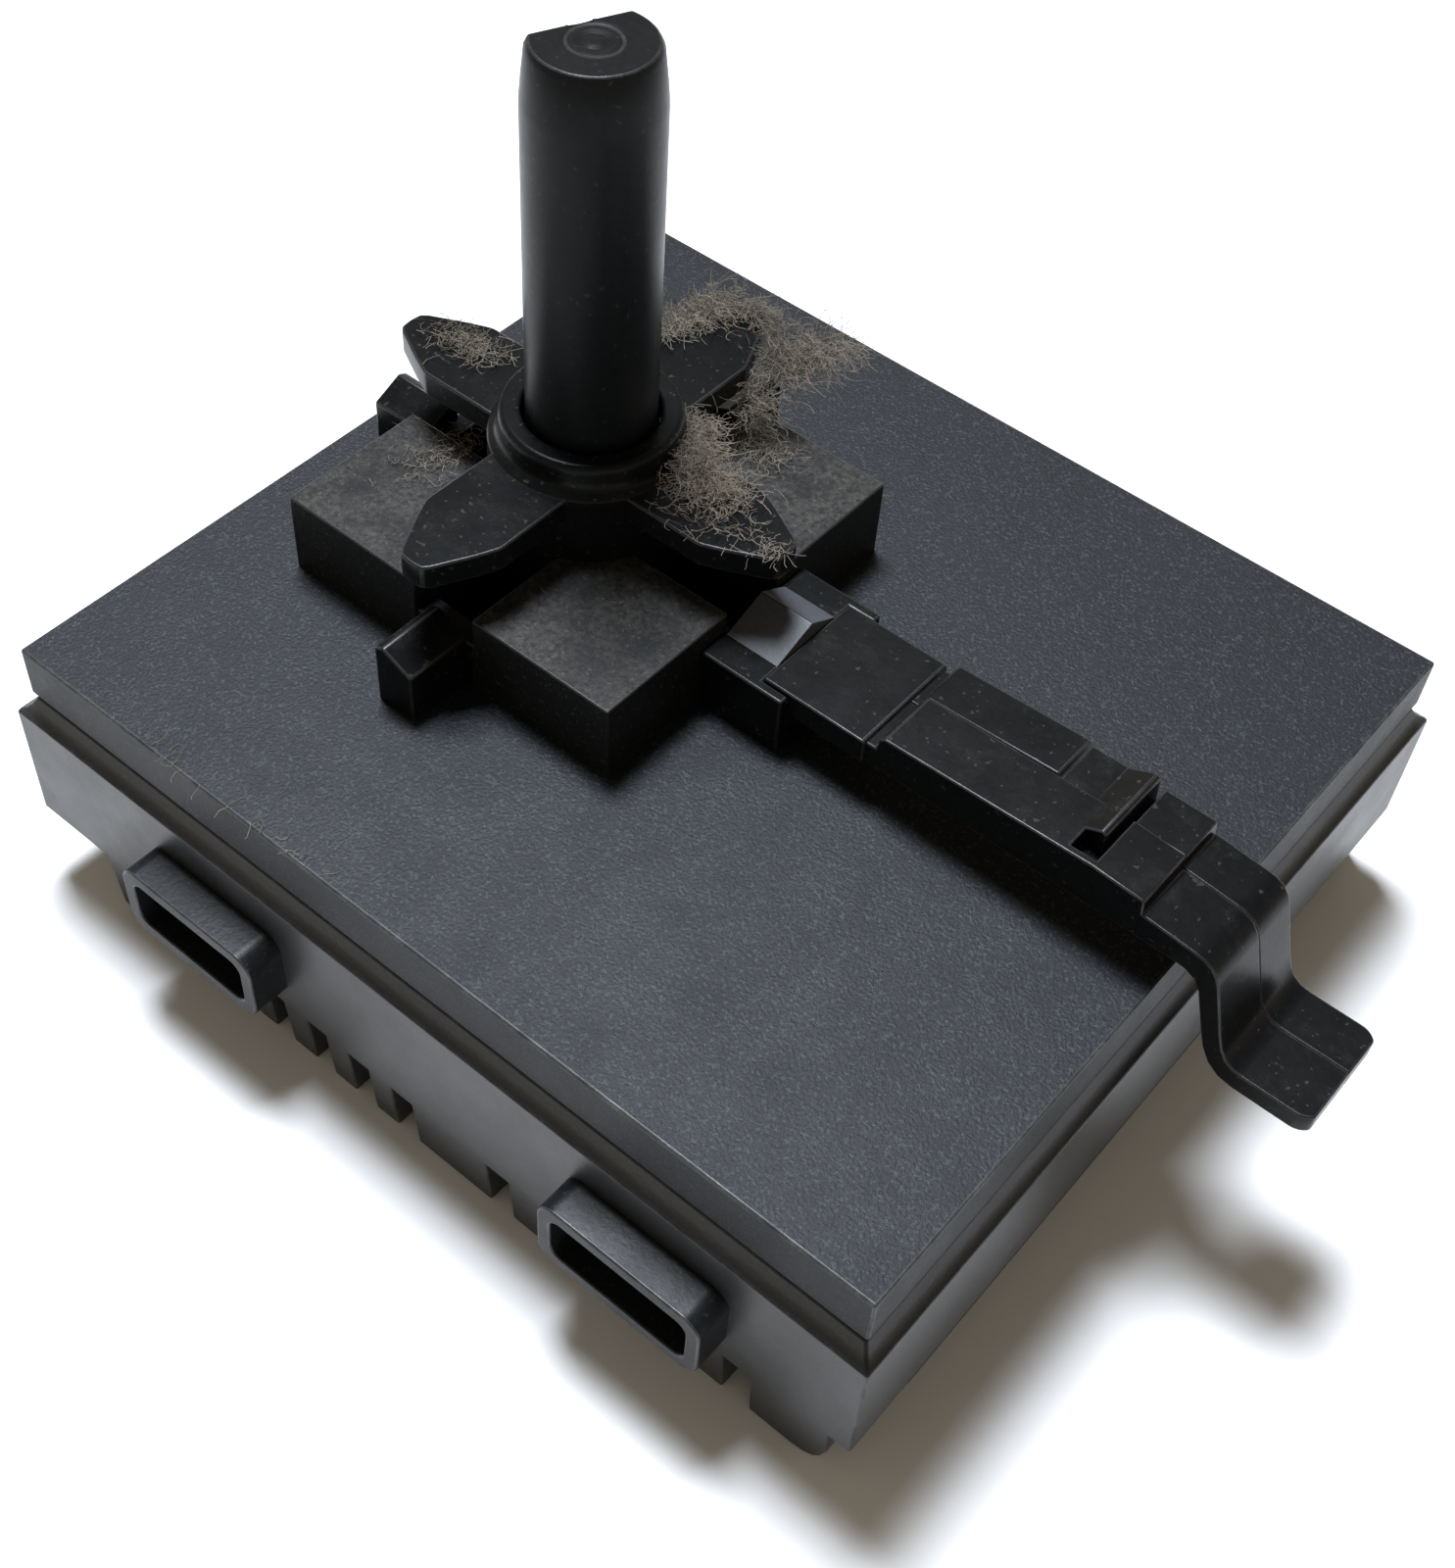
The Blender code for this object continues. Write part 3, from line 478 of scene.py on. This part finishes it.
def plastic(name, dark, light, grain_scale, grain_strength, rough, specks_and_glints=None, dust=None, specular=0.5):
    """Return a moulded plastic: cloudy colour, fine grain, pale specks and settled dust; on the cover the
    pale specks are painted glints of the lamp on its grain.

    rough is the lowest and highest roughness; the specks and the dust are each (scale, threshold, share,
    colour).
    """
    made, tree, shader, vector = node_material(name)
    clouds = noise(tree, vector, 0.10, 5.0, 0.6)
    colour = blend_colours(tree, ramp(tree, clouds, 0.3, 0.7), dark, light)
    grain = noise(tree, vector, grain_scale, 3.0, 0.7)
    deeper = tuple(channel * 0.72 for channel in dark)
    colour = blend_colours(tree, ramp(tree, grain, 0.62, 0.38, 0.0, 0.6), colour, deeper)
    # Pale specks; on the cover they are painted glints of the lamp on the grain.
    if specks_and_glints:
        speck_and_glint_noise = noise(tree, vector, specks_and_glints[0], 1.0, 0.5)
        share = ramp(tree, speck_and_glint_noise, specks_and_glints[1], specks_and_glints[1] + 0.05, 0.0, specks_and_glints[2])
        colour = blend_colours(tree, share, colour, specks_and_glints[3])
    if dust:
        patches = noise(tree, vector, dust[0], 6.0, 0.65)
        amount = ramp(tree, patches, dust[1], dust[1] + 0.22, 0.0, dust[2])
        fine = noise(tree, vector, dust[0] * 14.0, 3.0, 0.7)
        amount = combine_values(tree, "MULTIPLY", amount, ramp(tree, fine, 0.35, 0.7))
        normal = tree.nodes.new("ShaderNodeNewGeometry")
        split = tree.nodes.new("ShaderNodeSeparateXYZ")
        tree.links.new(normal.outputs["Normal"], split.inputs["Vector"])
        amount = combine_values(tree, "MULTIPLY", amount, ramp(tree, split.outputs["Z"], 0.4, 0.95))
        colour = blend_colours(tree, amount, colour, dust[3])
    tree.links.new(colour, shader.inputs["Base Color"])
    smear = noise(tree, vector, 0.35, 5.0, 0.6)
    tree.links.new(ramp(tree, smear, 0.3, 0.7, rough[0], rough[1]), shader.inputs["Roughness"])
    shader.inputs["Specular IOR Level"].default_value = specular
    bump(tree, shader, grain, grain_strength, 0.06)
    return made


def worn_and_highlit_edge(name, dark, pale, amount, rough, scale=0.8, specular=0.3):
    """Return the plastic of a rounded edge, pale in patches: partly rubbed wear, partly a painted highlight
    along the edge.
    """
    made, tree, shader, vector = node_material(name)
    patches = noise(tree, vector, scale, 6.0, 0.7)
    fine = noise(tree, vector, 6.0, 3.0, 0.6)
    broken_up = ramp(tree, fine, 0.3, 0.65, 0.35, 1.0)
    mixed = combine_values(tree, "MULTIPLY", ramp(tree, patches, 0.35, 0.68), broken_up)
    mixed = combine_values(tree, "MULTIPLY", mixed, amount)
    tree.links.new(blend_colours(tree, mixed, dark, pale), shader.inputs["Base Color"])
    tree.links.new(ramp(tree, patches, 0.3, 0.7, rough + 0.1, rough - 0.08), shader.inputs["Roughness"])
    shader.inputs["Specular IOR Level"].default_value = specular
    bump(tree, shader, fine, 0.25, 0.04)
    return made


def metal(name, colour, tint, rough, scale=(1.0, 1.0, 14.0)):
    """Return a drawn metal with faint streaks."""
    made, tree, shader, vector = node_material(name)
    streaks = noise(tree, vector, 1.2, 5.0, 0.6, scale)
    streaked = blend_colours(tree, ramp(tree, streaks, 0.3, 0.7), colour, tint)
    tree.links.new(streaked, shader.inputs["Base Color"])
    tree.links.new(ramp(tree, streaks, 0.3, 0.7, rough, rough + 0.15), shader.inputs["Roughness"])
    shader.inputs["Metallic"].default_value = 1.0
    bump(tree, shader, streaks, 0.15, 0.02)
    return made


DUST = (0.22, 0.20, 0.17)
# The cover's pale specks are painted glints: the lamp's light caught on the grain's facets, painted into its
# colour.
cover_material = plastic(
    "cover_grained", (0.0055, 0.0074, 0.0102), (0.0085, 0.0108, 0.0142), 6.0, 0.7, (0.46, 0.55),
    specks_and_glints=(6.5, 0.60, 0.6, (0.042, 0.047, 0.053)), specular=0.26)
# Each edge plastic's pale patches are partly wear and partly a painted highlight along the rounded edges.
cover_edge = worn_and_highlit_edge("cover_edge", (0.014, 0.017, 0.021), (0.12, 0.12, 0.11), 0.7, 0.42)
pad_material = plastic(
    "pad_dusty", (0.007, 0.008, 0.0085), (0.011, 0.012, 0.0125), 4.0, 0.25, (0.40, 0.50),
    specks_and_glints=(5.0, 0.66, 0.5, (0.07, 0.065, 0.05)), dust=(0.30, 0.34, 0.22, DUST), specular=0.18)
boss_material = plastic(
    "boss_satin", (0.0035, 0.0043, 0.0048), (0.0055, 0.0064, 0.0068), 2.6, 0.14, (0.27, 0.34),
    specks_and_glints=(3.4, 0.68, 0.6, (0.05, 0.047, 0.038)), dust=(0.5, 0.52, 0.10, DUST), specular=0.12)
# The ridge plastic is the boss plastic painted about ten times lighter: a painted highlight of the lamp on
# the ridge's sloping face.
ridge_highlight_material = plastic(
    "ridge_painted_highlight", (0.060, 0.065, 0.076), (0.070, 0.075, 0.086), 5.0, 0.12, (0.42, 0.48), specular=0.35)
boss_edge = worn_and_highlit_edge("boss_edge", (0.008, 0.008, 0.009), (0.05, 0.05, 0.045), 0.45, 0.34)
arm_material = plastic(
    "arm_satin", (0.0038, 0.0044, 0.0048), (0.0058, 0.0065, 0.0068), 2.2, 0.14, (0.27, 0.34),
    specks_and_glints=(3.2, 0.69, 0.6, (0.05, 0.048, 0.042)), dust=(0.6, 0.54, 0.10, DUST), specular=0.15)
arm_edge = worn_and_highlit_edge("arm_edge", (0.009, 0.009, 0.010), (0.07, 0.07, 0.07), 0.45, 0.32)
base_material = plastic(
    "base_satin", (0.019, 0.020, 0.021), (0.026, 0.027, 0.028), 4.5, 0.22, (0.34, 0.44),
    specks_and_glints=(7.0, 0.68, 0.35, (0.05, 0.05, 0.055)), specular=0.5)
socket_material = plastic(
    "socket_satin", (0.008, 0.009, 0.0105), (0.013, 0.0145, 0.016), 3.0, 0.3, (0.38, 0.48),
    specks_and_glints=(5.0, 0.66, 0.4, (0.05, 0.055, 0.06)), specular=0.2)
base_edge = worn_and_highlit_edge("base_edge", (0.015, 0.016, 0.018), (0.10, 0.10, 0.10), 0.5, 0.34)
shaft_material = plastic(
    "shaft_smooth", (0.0045, 0.0055, 0.006), (0.007, 0.008, 0.009), 3.0, 0.12, (0.30, 0.38),
    specks_and_glints=(3.0, 0.70, 0.4, (0.04, 0.04, 0.04)), specular=0.13)
shaft_edge = worn_and_highlit_edge("shaft_edge", (0.008, 0.009, 0.010), (0.09, 0.09, 0.085), 0.45, 0.36, 1.2, 0.2)
pin_material = metal("pin_tin_drawn", (0.62, 0.62, 0.63), (0.74, 0.74, 0.74), 0.28)
brass_material = metal("contact_brass_drawn", (0.66, 0.47, 0.18), (0.78, 0.60, 0.28), 0.26)
steel_material = metal("spring_steel_drawn", (0.45, 0.45, 0.47), (0.60, 0.60, 0.61), 0.28)
board_material = plastic(
    "laminate_paper", (0.24, 0.16, 0.07), (0.34, 0.24, 0.12), 2.0, 0.12, (0.45, 0.60))
carrier_material = plastic(
    "carrier_natural", (0.50, 0.48, 0.42), (0.60, 0.58, 0.52), 3.0, 0.10, (0.40, 0.50))
nylon_material = plastic("nylon_natural", (0.66, 0.64, 0.58), (0.76, 0.74, 0.68), 3.0, 0.10, (0.42, 0.55))
header_material = plastic(
    "header_moulded", (0.018, 0.018, 0.020), (0.028, 0.028, 0.030), 3.5, 0.20, (0.42, 0.55))
lint_material = plastic(
    "lint_felted", (0.14, 0.12, 0.093), (0.30, 0.262, 0.21), 1.4, 0.2, (0.8, 0.95), specular=0.1)
ceramic_material = plastic("ceramic_fired", (0.04, 0.04, 0.04), (0.08, 0.08, 0.08), 5.0, 0.15, (0.35, 0.45))


# ---------------------------------------------------------------- cover

def build_cover():
    """Grained cover plate with its skirt and the lip that drops into the base."""
    cover = box(COVER_X, COVER_Y, (SKIRT_BOTTOM, COVER_TOP))
    join(cover, box(LIP_X, LIP_Y, (LIP_BOTTOM, SKIRT_BOTTOM + 0.5)))
    cut(cover, box(grown(LIP_X, -LIP_WALL), grown(LIP_Y, -LIP_WALL), (LIP_BOTTOM - 1.0, COVER_INSIDE)))
    cut(cover, cylinder(BORE_RADIUS, (COVER_INSIDE - 3.0, COVER_TOP + 1.0)))
    finish_piece(
        cover, "cover_plate", "housing", ["top_cover"],
        cover_material, cover_edge, 0.14)


def bayonet_tab(bearing):
    """One bayonet tab."""
    outline = [(x, -half) for x, half in TAB_OUTLINE]
    outline += [(x, half) for x, half in reversed(TAB_OUTLINE)]
    return turn_about_axis(prism(outline, BOSS_TOP - TAB_THICKNESS, BOSS_TOP), bearing)


def pad_ramp(bearing):
    """One ramp stub; its crest runs along the radius."""
    return turn_about_axis(prism(RAMP_OUTLINE, RAMP_X[0], RAMP_X[1], "X"), bearing)


def ramp_web(bearing):
    """Low wall closing the channel between two pads behind a ramp stub."""
    x_span = (RAMP_X[0] - WEB_DEPTH, PAD_OUTER - 0.08)
    web = box(x_span, (-PAD_INNER, PAD_INNER), (COVER_TOP - SINK, COVER_TOP + WEB_HEIGHT))
    return turn_about_axis(web, bearing)


def build_root():
    """Block the latch arm springs from, lowered behind the ridge where the arm's plate lies over it."""
    root = box(ROOT_X, (-ROOT_HALF_WIDTH, ROOT_HALF_WIDTH), (COVER_TOP - SINK, COVER_TOP + ROOT_HEIGHT))
    seat_y = (-ARM_PLATE_HALF_WIDTH - 0.05, ARM_PLATE_HALF_WIDTH + 0.05)
    return cut(root, box((RIDGE_END + 0.02, 15.0), seat_y, (COVER_TOP + ROOT_SEAT, COVER_TOP + 5.0)))


def build_ridge():
    """Low ridge on the arm's root, in the boss plastic painted much lighter as a painted highlight."""
    foot = COVER_TOP + 1.0
    side = COVER_TOP + ROOT_HEIGHT - 0.06
    ridge = (
        (-RIDGE_HALF_WIDTH, foot), (RIDGE_HALF_WIDTH, foot), (RIDGE_HALF_WIDTH, side),
        (RIDGE_Y, COVER_TOP + RIDGE_TOP), (-RIDGE_HALF_WIDTH, side),
    )
    finish_piece(
        prism(ridge, ROOT_X[0] + 0.1, RIDGE_END, "X"), "root_ridge", "housing",
        ["top_cover"], ridge_highlight_material, boss_edge, 0.06)


def build_pads():
    """Four square pads round the boss."""
    spans = ((-PAD_OUTER, -PAD_INNER), (PAD_INNER, PAD_OUTER))
    pads = []
    for x_span in spans:
        for y_span in spans:
            pad = box(x_span, y_span, (COVER_TOP - SINK, PAD_TOP))
            pads.append(cut(pad, cylinder(BOSS_RADIUS - 0.2, (COVER_TOP - 1.0, PAD_TOP + 1.0))))
    finish_piece(
        assemble(*pads), "cover_pads", "housing", ["top_cover"],
        pad_material, boss_edge, 0.1)


def build_boss():
    """Satin mouldings on the cover: bayonet boss, ramps with their webs, and the arm's root."""
    solids = [turned(COLLAR_PROFILE, COLLAR_SEGMENTS)]
    solids += [bayonet_tab(bearing) for bearing in (0.0, 90.0, 180.0, 270.0)]
    for bearing in (90.0, 180.0, 270.0):
        solids += [pad_ramp(bearing), ramp_web(bearing)]
    solids.append(build_root())
    boss = assemble(*solids)
    finish_piece(
        boss, "bayonet_boss", "housing", ["top_cover"],
        boss_material, boss_edge, 0.12)


# ---------------------------------------------------------------- latch arm

def arm_strip(y_span, box_top, rear_top, bend_top):
    """One moulded half of the arm; bend_top lifts its bend and the top of the finger tab."""
    top = (*STRIP_START, *box_top, (REAR_END, rear_top), (REAR_END + 0.12, rear_top - 0.05))
    outline = [(x, COVER_TOP + height) for x, height in top]
    outline += [(x, COVER_TOP + bend_top + height) for x, height in STRIP_BEND]
    outline += [(x, COVER_TOP + height) for x, height in STRIP_UNDERSIDE]
    return prism(outline, y_span[0], y_span[1], "Y")


def build_plate():
    """Flat plate at the arm's root end; its thin rear edge lies on the root's seat."""
    floor = COVER_TOP + ARM_FLOOR - 0.02
    top = COVER_TOP + ARM_PLATE_TOP
    seat = COVER_TOP + ROOT_SEAT + 0.04
    rear, step = PLATE_SEAT_X
    outline = (
        (step, floor), (PLATE_FRONT, floor), (PLATE_FRONT, top - 0.1), (PLATE_FRONT - 0.12, top),
        (rear, top), (rear, seat), (step, seat),
    )
    return prism(outline, -ARM_PLATE_HALF_WIDTH, ARM_PLATE_HALF_WIDTH, "Y")


def round_tab_end(strip):
    """Cut the strip's part of the finger tab's rounded corners."""
    z_span = (5.0, 20.0)
    wide = (-ARM_HALF_WIDTH - 1.0, ARM_HALF_WIDTH + 1.0)
    corners = box((TAB_END_X - 1.2, TAB_END_X + 0.5), wide, z_span)
    tab_end = rounded_rectangle((30.0, TAB_END_X), (-ARM_HALF_WIDTH, ARM_HALF_WIDTH), TAB_CORNER_RADIUS, 10)
    cut(corners, prism(tab_end, *z_span))
    return cut(strip, corners)


def build_arm():
    """Sprung latch arm with its catch tooth, bend and finger tab."""
    near_strip = arm_strip((-ARM_HALF_WIDTH, ARM_SEAM), NEAR_TOP, NEAR_REAR, NEAR_LIFT)
    far_strip = arm_strip((ARM_SEAM, ARM_HALF_WIDTH), FAR_TOP, FAR_REAR, 0.0)
    for strip in (near_strip, far_strip):
        catch_z = (COVER_TOP + CATCH_FLOOR, COVER_TOP + 7.0)
        cut(strip, box(CATCH_X, (CATCH_NEAR_Y, ARM_HALF_WIDTH + 1.0), catch_z))
        round_tab_end(strip)
    tooth = [(x, COVER_TOP + height) for x, height in TOOTH_OUTLINE]
    tooth_solid = prism(tooth, TOOTH_NEAR_Y, ARM_HALF_WIDTH - 0.04, "Y")
    finish_piece(
        assemble(build_plate(), near_strip, far_strip, tooth_solid), "latch_arm_moulding", "latch",
        ["latch_arm"], arm_material, arm_edge, 0.1, 3)


# ---------------------------------------------------------------- base

def build_rail():
    """Notched rail under the -Y wall; its outer face leans inwards."""
    top = BASE_BOTTOM
    outline = [(RAIL_X[0], top), (RAIL_X[0], 0.0), *RAIL_END, (RAIL_X[1], top)]
    rail = prism(outline, BASE_Y[0], BASE_Y[0] + RAIL_THICKNESS, "Y")
    for vertex in rail.data.vertices:
        if vertex.co.y < (BASE_Y[0] + 0.1) * MM:
            vertex.co.y += RAIL_DRAFT * (1.0 - vertex.co.z / (top * MM)) * MM
    notch_y = (BASE_Y[0] - 1.0, BASE_Y[0] + RAIL_THICKNESS + 1.0)
    return cut(rail, *[box(span, notch_y, (-1.0, NOTCH_TOP)) for span in RAIL_NOTCHES])


def build_tray():
    """Walls and floor of the base with the hollowed ledge round the rim."""
    mesh_data = bmesh.new()
    rings = []
    for height, inset in TRAY_LEVELS:
        x_span = grown(BASE_X, -inset)
        y_span = grown(BASE_Y, -inset)
        corners = (
            (x_span[0], y_span[0]), (x_span[1], y_span[0]),
            (x_span[1], y_span[1]), (x_span[0], y_span[1]),
        )
        rings.append([mesh_data.verts.new((x, y, height)) for x, y in corners])
    mesh_data.faces.new(rings[0])
    mesh_data.faces.new(rings[-1])
    for lower, upper in zip(rings, rings[1:]):
        for step in range(4):
            following = (step + 1) % 4
            mesh_data.faces.new((lower[step], lower[following], upper[following], upper[step]))
    tray = object_from(mesh_data)
    cavity = box(grown(BASE_X, -BASE_WALL), grown(BASE_Y, -BASE_WALL), (BASE_FLOOR, LEDGE_TOP + 1.0))
    return cut(tray, cavity)


def socket_mouth(span, clearance=0.0):
    """Outline of one socket's mouth, (x, z)."""
    inset = clearance - SOCKET_RING
    return rounded_rectangle(grown(span, inset), grown(SOCKET_Z, inset), 0.6)


def build_sockets():
    """Two rectangular sockets standing out of the -Y wall."""
    sockets = []
    for span in SOCKET_SPANS:
        housing = prism(rounded_rectangle(span, SOCKET_Z, 1.0), SOCKET_FACE_Y, SOCKET_BACK_Y, "Y")
        sockets.append(cut(housing, prism(socket_mouth(span), SOCKET_FACE_Y - 1.0, SOCKET_BLIND_Y, "Y")))
    finish_piece(
        assemble(*sockets), "socket_housings", "housing", ["base_shell"],
        socket_material, base_edge, 0.12)


def build_base():
    """Base shell with its rail, feet, bearing and toothed edge."""
    base = build_tray()
    for span in SOCKET_SPANS:
        cut(base, prism(socket_mouth(span, 0.15), SOCKET_FACE_Y - 1.0, SOCKET_BLIND_Y, "Y"))
    join(base, build_rail())
    foot_y = (BASE_Y[1] - RAIL_THICKNESS - 0.1, BASE_Y[1] - 0.1)
    join(base, *[box(span, foot_y, (0.0, BASE_BOTTOM + 0.3)) for span in FEET_X])
    join(base, cylinder(HUB_RADIUS, (0.0, BASE_FLOOR - 0.4)))
    cut(base, cylinder(BEARING_RADIUS, (1.0, BASE_FLOOR + 1.0)))
    for index in range(SIDE_COUNT):
        y = SIDE_FIRST_Y + SIDE_PITCH * index
        join(base, box(SIDE_TOOTH_X, (y - 0.5, y + 0.5), (BASE_BOTTOM - 0.4, BASE_BOTTOM + 0.5)))
    for x_span, y_span in (FRONT_WINDOW, SIDE_WINDOW):
        cut(base, box(x_span, y_span, (BASE_BOTTOM - 1.15, BASE_FLOOR + 0.65)))
    finish_piece(
        base, "base_moulding", "housing", ["base_shell"],
        base_material, base_edge, 0.12)


# ---------------------------------------------------------------- shaft

def build_shaft():
    """D-shaft with a tapered tip and a dimpled end."""
    shaft = turned(SHAFT_PROFILE, SHAFT_SEGMENTS)
    flat = box((FLAT_OFFSET, SHAFT_RADIUS + 1.0), (-5.0, 5.0), (FLAT_BOTTOM, SHAFT_TIP + 1.0))
    cut(shaft, turn_about_axis(flat, FLAT_BEARING))
    cut(shaft, box(CARRIER_FLAT_X, (-5.0, 5.0), CARRIER_FLAT_Z))
    finish_piece(
        shaft, "d_shaft", "selector", ["selector_shaft"],
        shaft_material, shaft_edge, 0.08)


def build_spring():
    """Detent spring wound from round wire."""
    mesh_data = bmesh.new()
    per_turn = 32
    steps = SPRING_TURNS * per_turn
    around = 12
    rings = []
    for step in range(steps + 1):
        angle = math.tau * step / per_turn
        share = min(max((step - per_turn / 4) / (steps - per_turn / 2), 0.0), 1.0)
        height = SPRING_Z[0] + (SPRING_Z[1] - SPRING_Z[0]) * share
        ring = []
        for corner in range(around):
            turn = math.tau * corner / around
            radius = SPRING_RADIUS + SPRING_WIRE * math.cos(turn)
            ring.append(mesh_data.verts.new((
                SPRING_CENTRE[0] + radius * math.cos(angle),
                SPRING_CENTRE[1] + radius * math.sin(angle),
                height + SPRING_WIRE * math.sin(turn),
            )))
        rings.append(ring)
    mesh_data.faces.new(rings[0])
    mesh_data.faces.new(rings[-1])
    for near, far in zip(rings, rings[1:]):
        for corner in range(around):
            following = (corner + 1) % around
            mesh_data.faces.new((near[corner], near[following], far[following], far[corner]))
    spring = object_from(mesh_data, "spring_wire")
    spring.data.shade_smooth()
    spring.data.materials.append(steel_material)
    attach(spring, "housing")
    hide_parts("detent_spring")
    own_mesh(spring)


# ---------------------------------------------------------------- carried-over CAD nodes

def dress_cad_nodes():
    """Give every CAD node that stays visible its own finish."""
    finishes = {
        "wiper_carrier": carrier_material, "circuit_board": board_material, "front_header": header_material,
        "side_header": header_material, "thrust_washer": nylon_material, "retaining_ring": steel_material,
        "detent_plunger": nylon_material,
        "track_inner": brass_material, "track_outer": brass_material,
    }
    for name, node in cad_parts.items():
        finish = finishes.get(name)
        if name.startswith(("front_pin", "side_pin")):
            finish = pin_material
        elif name.startswith("wiper_leaf"):
            finish = brass_material
        elif name.startswith("chip_resistor"):
            finish = ceramic_material
        if finish:
            node.data.materials.clear()
            node.data.materials.append(finish)


# ---------------------------------------------------------------- lint

def fibre(mesh_data, points, radius):
    """Add one thin tube through a few points."""
    rings = []
    for index, point in enumerate(points):
        ahead = points[min(index + 1, len(points) - 1)]
        behind = points[max(index - 1, 0)]
        along = (ahead - behind).normalized()
        side = along.cross(Vector((0.3, 0.2, 1.0))).normalized()
        up = along.cross(side)
        ring = []
        for step in range(3):
            angle = math.tau * step / 3
            ring.append(mesh_data.verts.new(point + radius * (math.cos(angle) * side + math.sin(angle) * up)))
        rings.append(ring)
    mesh_data.faces.new(rings[0])
    mesh_data.faces.new(rings[-1])
    for near, far in zip(rings, rings[1:]):
        for step in range(3):
            following = (step + 1) % 3
            mesh_data.faces.new((near[step], near[following], far[following], far[step]))


def build_lint():
    """Fluff caught between the bayonet tabs: thin curled fibres in loose clumps."""
    source = random.Random(LINT_SEED)
    mesh_data = bmesh.new()
    for centre, spread, floor, count, reach in LINT_CLUMPS:
        for _ in range(int(LINT_DENSITY * count)):
            point = Vector(source.gauss(middle, width) for middle, width in zip(centre, spread))
            point.z = max(point.z, floor)
            heading = source.uniform(0.0, math.tau)
            climb = source.gauss(0.0, 0.35)
            curl = source.gauss(0.0, 0.28)
            step_length = reach * source.uniform(0.5, 1.2) / 6
            points = []
            for _ in range(7):
                points.append(point.copy())
                heading += curl + source.gauss(0.0, 0.25)
                climb = 0.8 * climb + source.gauss(0.0, 0.2)
                point += step_length * Vector((math.cos(heading), math.sin(heading), climb))
                point.z = max(point.z, floor)
            fibre(mesh_data, points, source.uniform(0.008, 0.017))
    lint = object_from(mesh_data, "lint_fibres")
    lint.data.materials.append(lint_material)
    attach(lint, "housing")


# ---------------------------------------------------------------- stage

def build_stage():
    """Pale floor, soft light and the camera."""
    mesh_data = bmesh.new()
    places = (
        (-FLOOR_SIZE, -FLOOR_SIZE), (FLOOR_SIZE, -FLOOR_SIZE),
        (FLOOR_SIZE, FLOOR_SIZE), (-FLOOR_SIZE, FLOOR_SIZE),
    )
    mesh_data.faces.new([mesh_data.verts.new((x, y, FLOOR_Z)) for x, y in places])
    floor = object_from(mesh_data, "floor")
    made, tree, shader, vector = node_material("floor_paper")
    tone = noise(tree, vector, 0.02, 3.0, 0.5)
    tree.links.new(
        blend_colours(tree, ramp(tree, tone, 0.3, 0.7), (0.86, 0.86, 0.85), (0.90, 0.90, 0.89)),
        shader.inputs["Base Color"])
    shader.inputs["Roughness"].default_value = 0.9
    floor.data.materials.append(made)

    bpy.context.scene.view_settings.view_transform = "Standard"
    world = bpy.data.worlds.new("studio")
    world.use_nodes = True
    tree = world.node_tree
    background = tree.nodes["Background"]
    place = tree.nodes.new("ShaderNodeTexCoord")
    split = tree.nodes.new("ShaderNodeSeparateXYZ")
    tree.links.new(place.outputs["Generated"], split.inputs["Vector"])
    height = ramp(tree, split.outputs["Z"], *SKY_BAND)
    sky = blend_colours(tree, height, HORIZON_LIGHT, ZENITH_LIGHT)
    tree.links.new(sky, background.inputs["Color"])
    background.inputs["Strength"].default_value = 1.0
    bpy.context.scene.world = world

    key = area_light("key", KEY_PLACE, (8.0, 0.0, 8.0), KEY_SIZE, KEY_POWER)
    key.data.color = KEY_COLOUR

    camera_data = bpy.data.cameras.new("camera")
    camera_data.lens = CAMERA_LENS
    camera_data.sensor_width = 36.0
    camera_data.clip_start = 0.001
    camera_data.clip_end = 10.0
    camera = bpy.data.objects.new("camera", camera_data)
    bpy.context.collection.objects.link(camera)
    right = Vector(CAMERA_RIGHT)
    up = -Vector(CAMERA_DOWN)
    back = -Vector(CAMERA_FORWARD)
    turn = Matrix((right, up, back)).transposed().to_4x4()
    camera.matrix_world = Matrix.Translation(Vector(CAMERA_PLACE) * MM) @ turn
    bpy.context.scene.camera = camera


def area_light(name, place, target, size, power):
    """A square soft light aimed at a point; millimetres and watts."""
    data = bpy.data.lights.new(name, "AREA")
    data.shape = "SQUARE"
    data.size = size * MM
    data.energy = power
    light = bpy.data.objects.new(name, data)
    bpy.context.collection.objects.link(light)
    direction = Vector(target) - Vector(place)
    light.location = Vector(place) * MM
    light.rotation_euler = direction.to_track_quat("-Z", "Y").to_euler()
    return light


build_cover()
build_pads()
build_boss()
build_ridge()
build_arm()
build_base()
build_sockets()
build_shaft()
build_spring()
build_lint()
dress_cad_nodes()
build_stage()
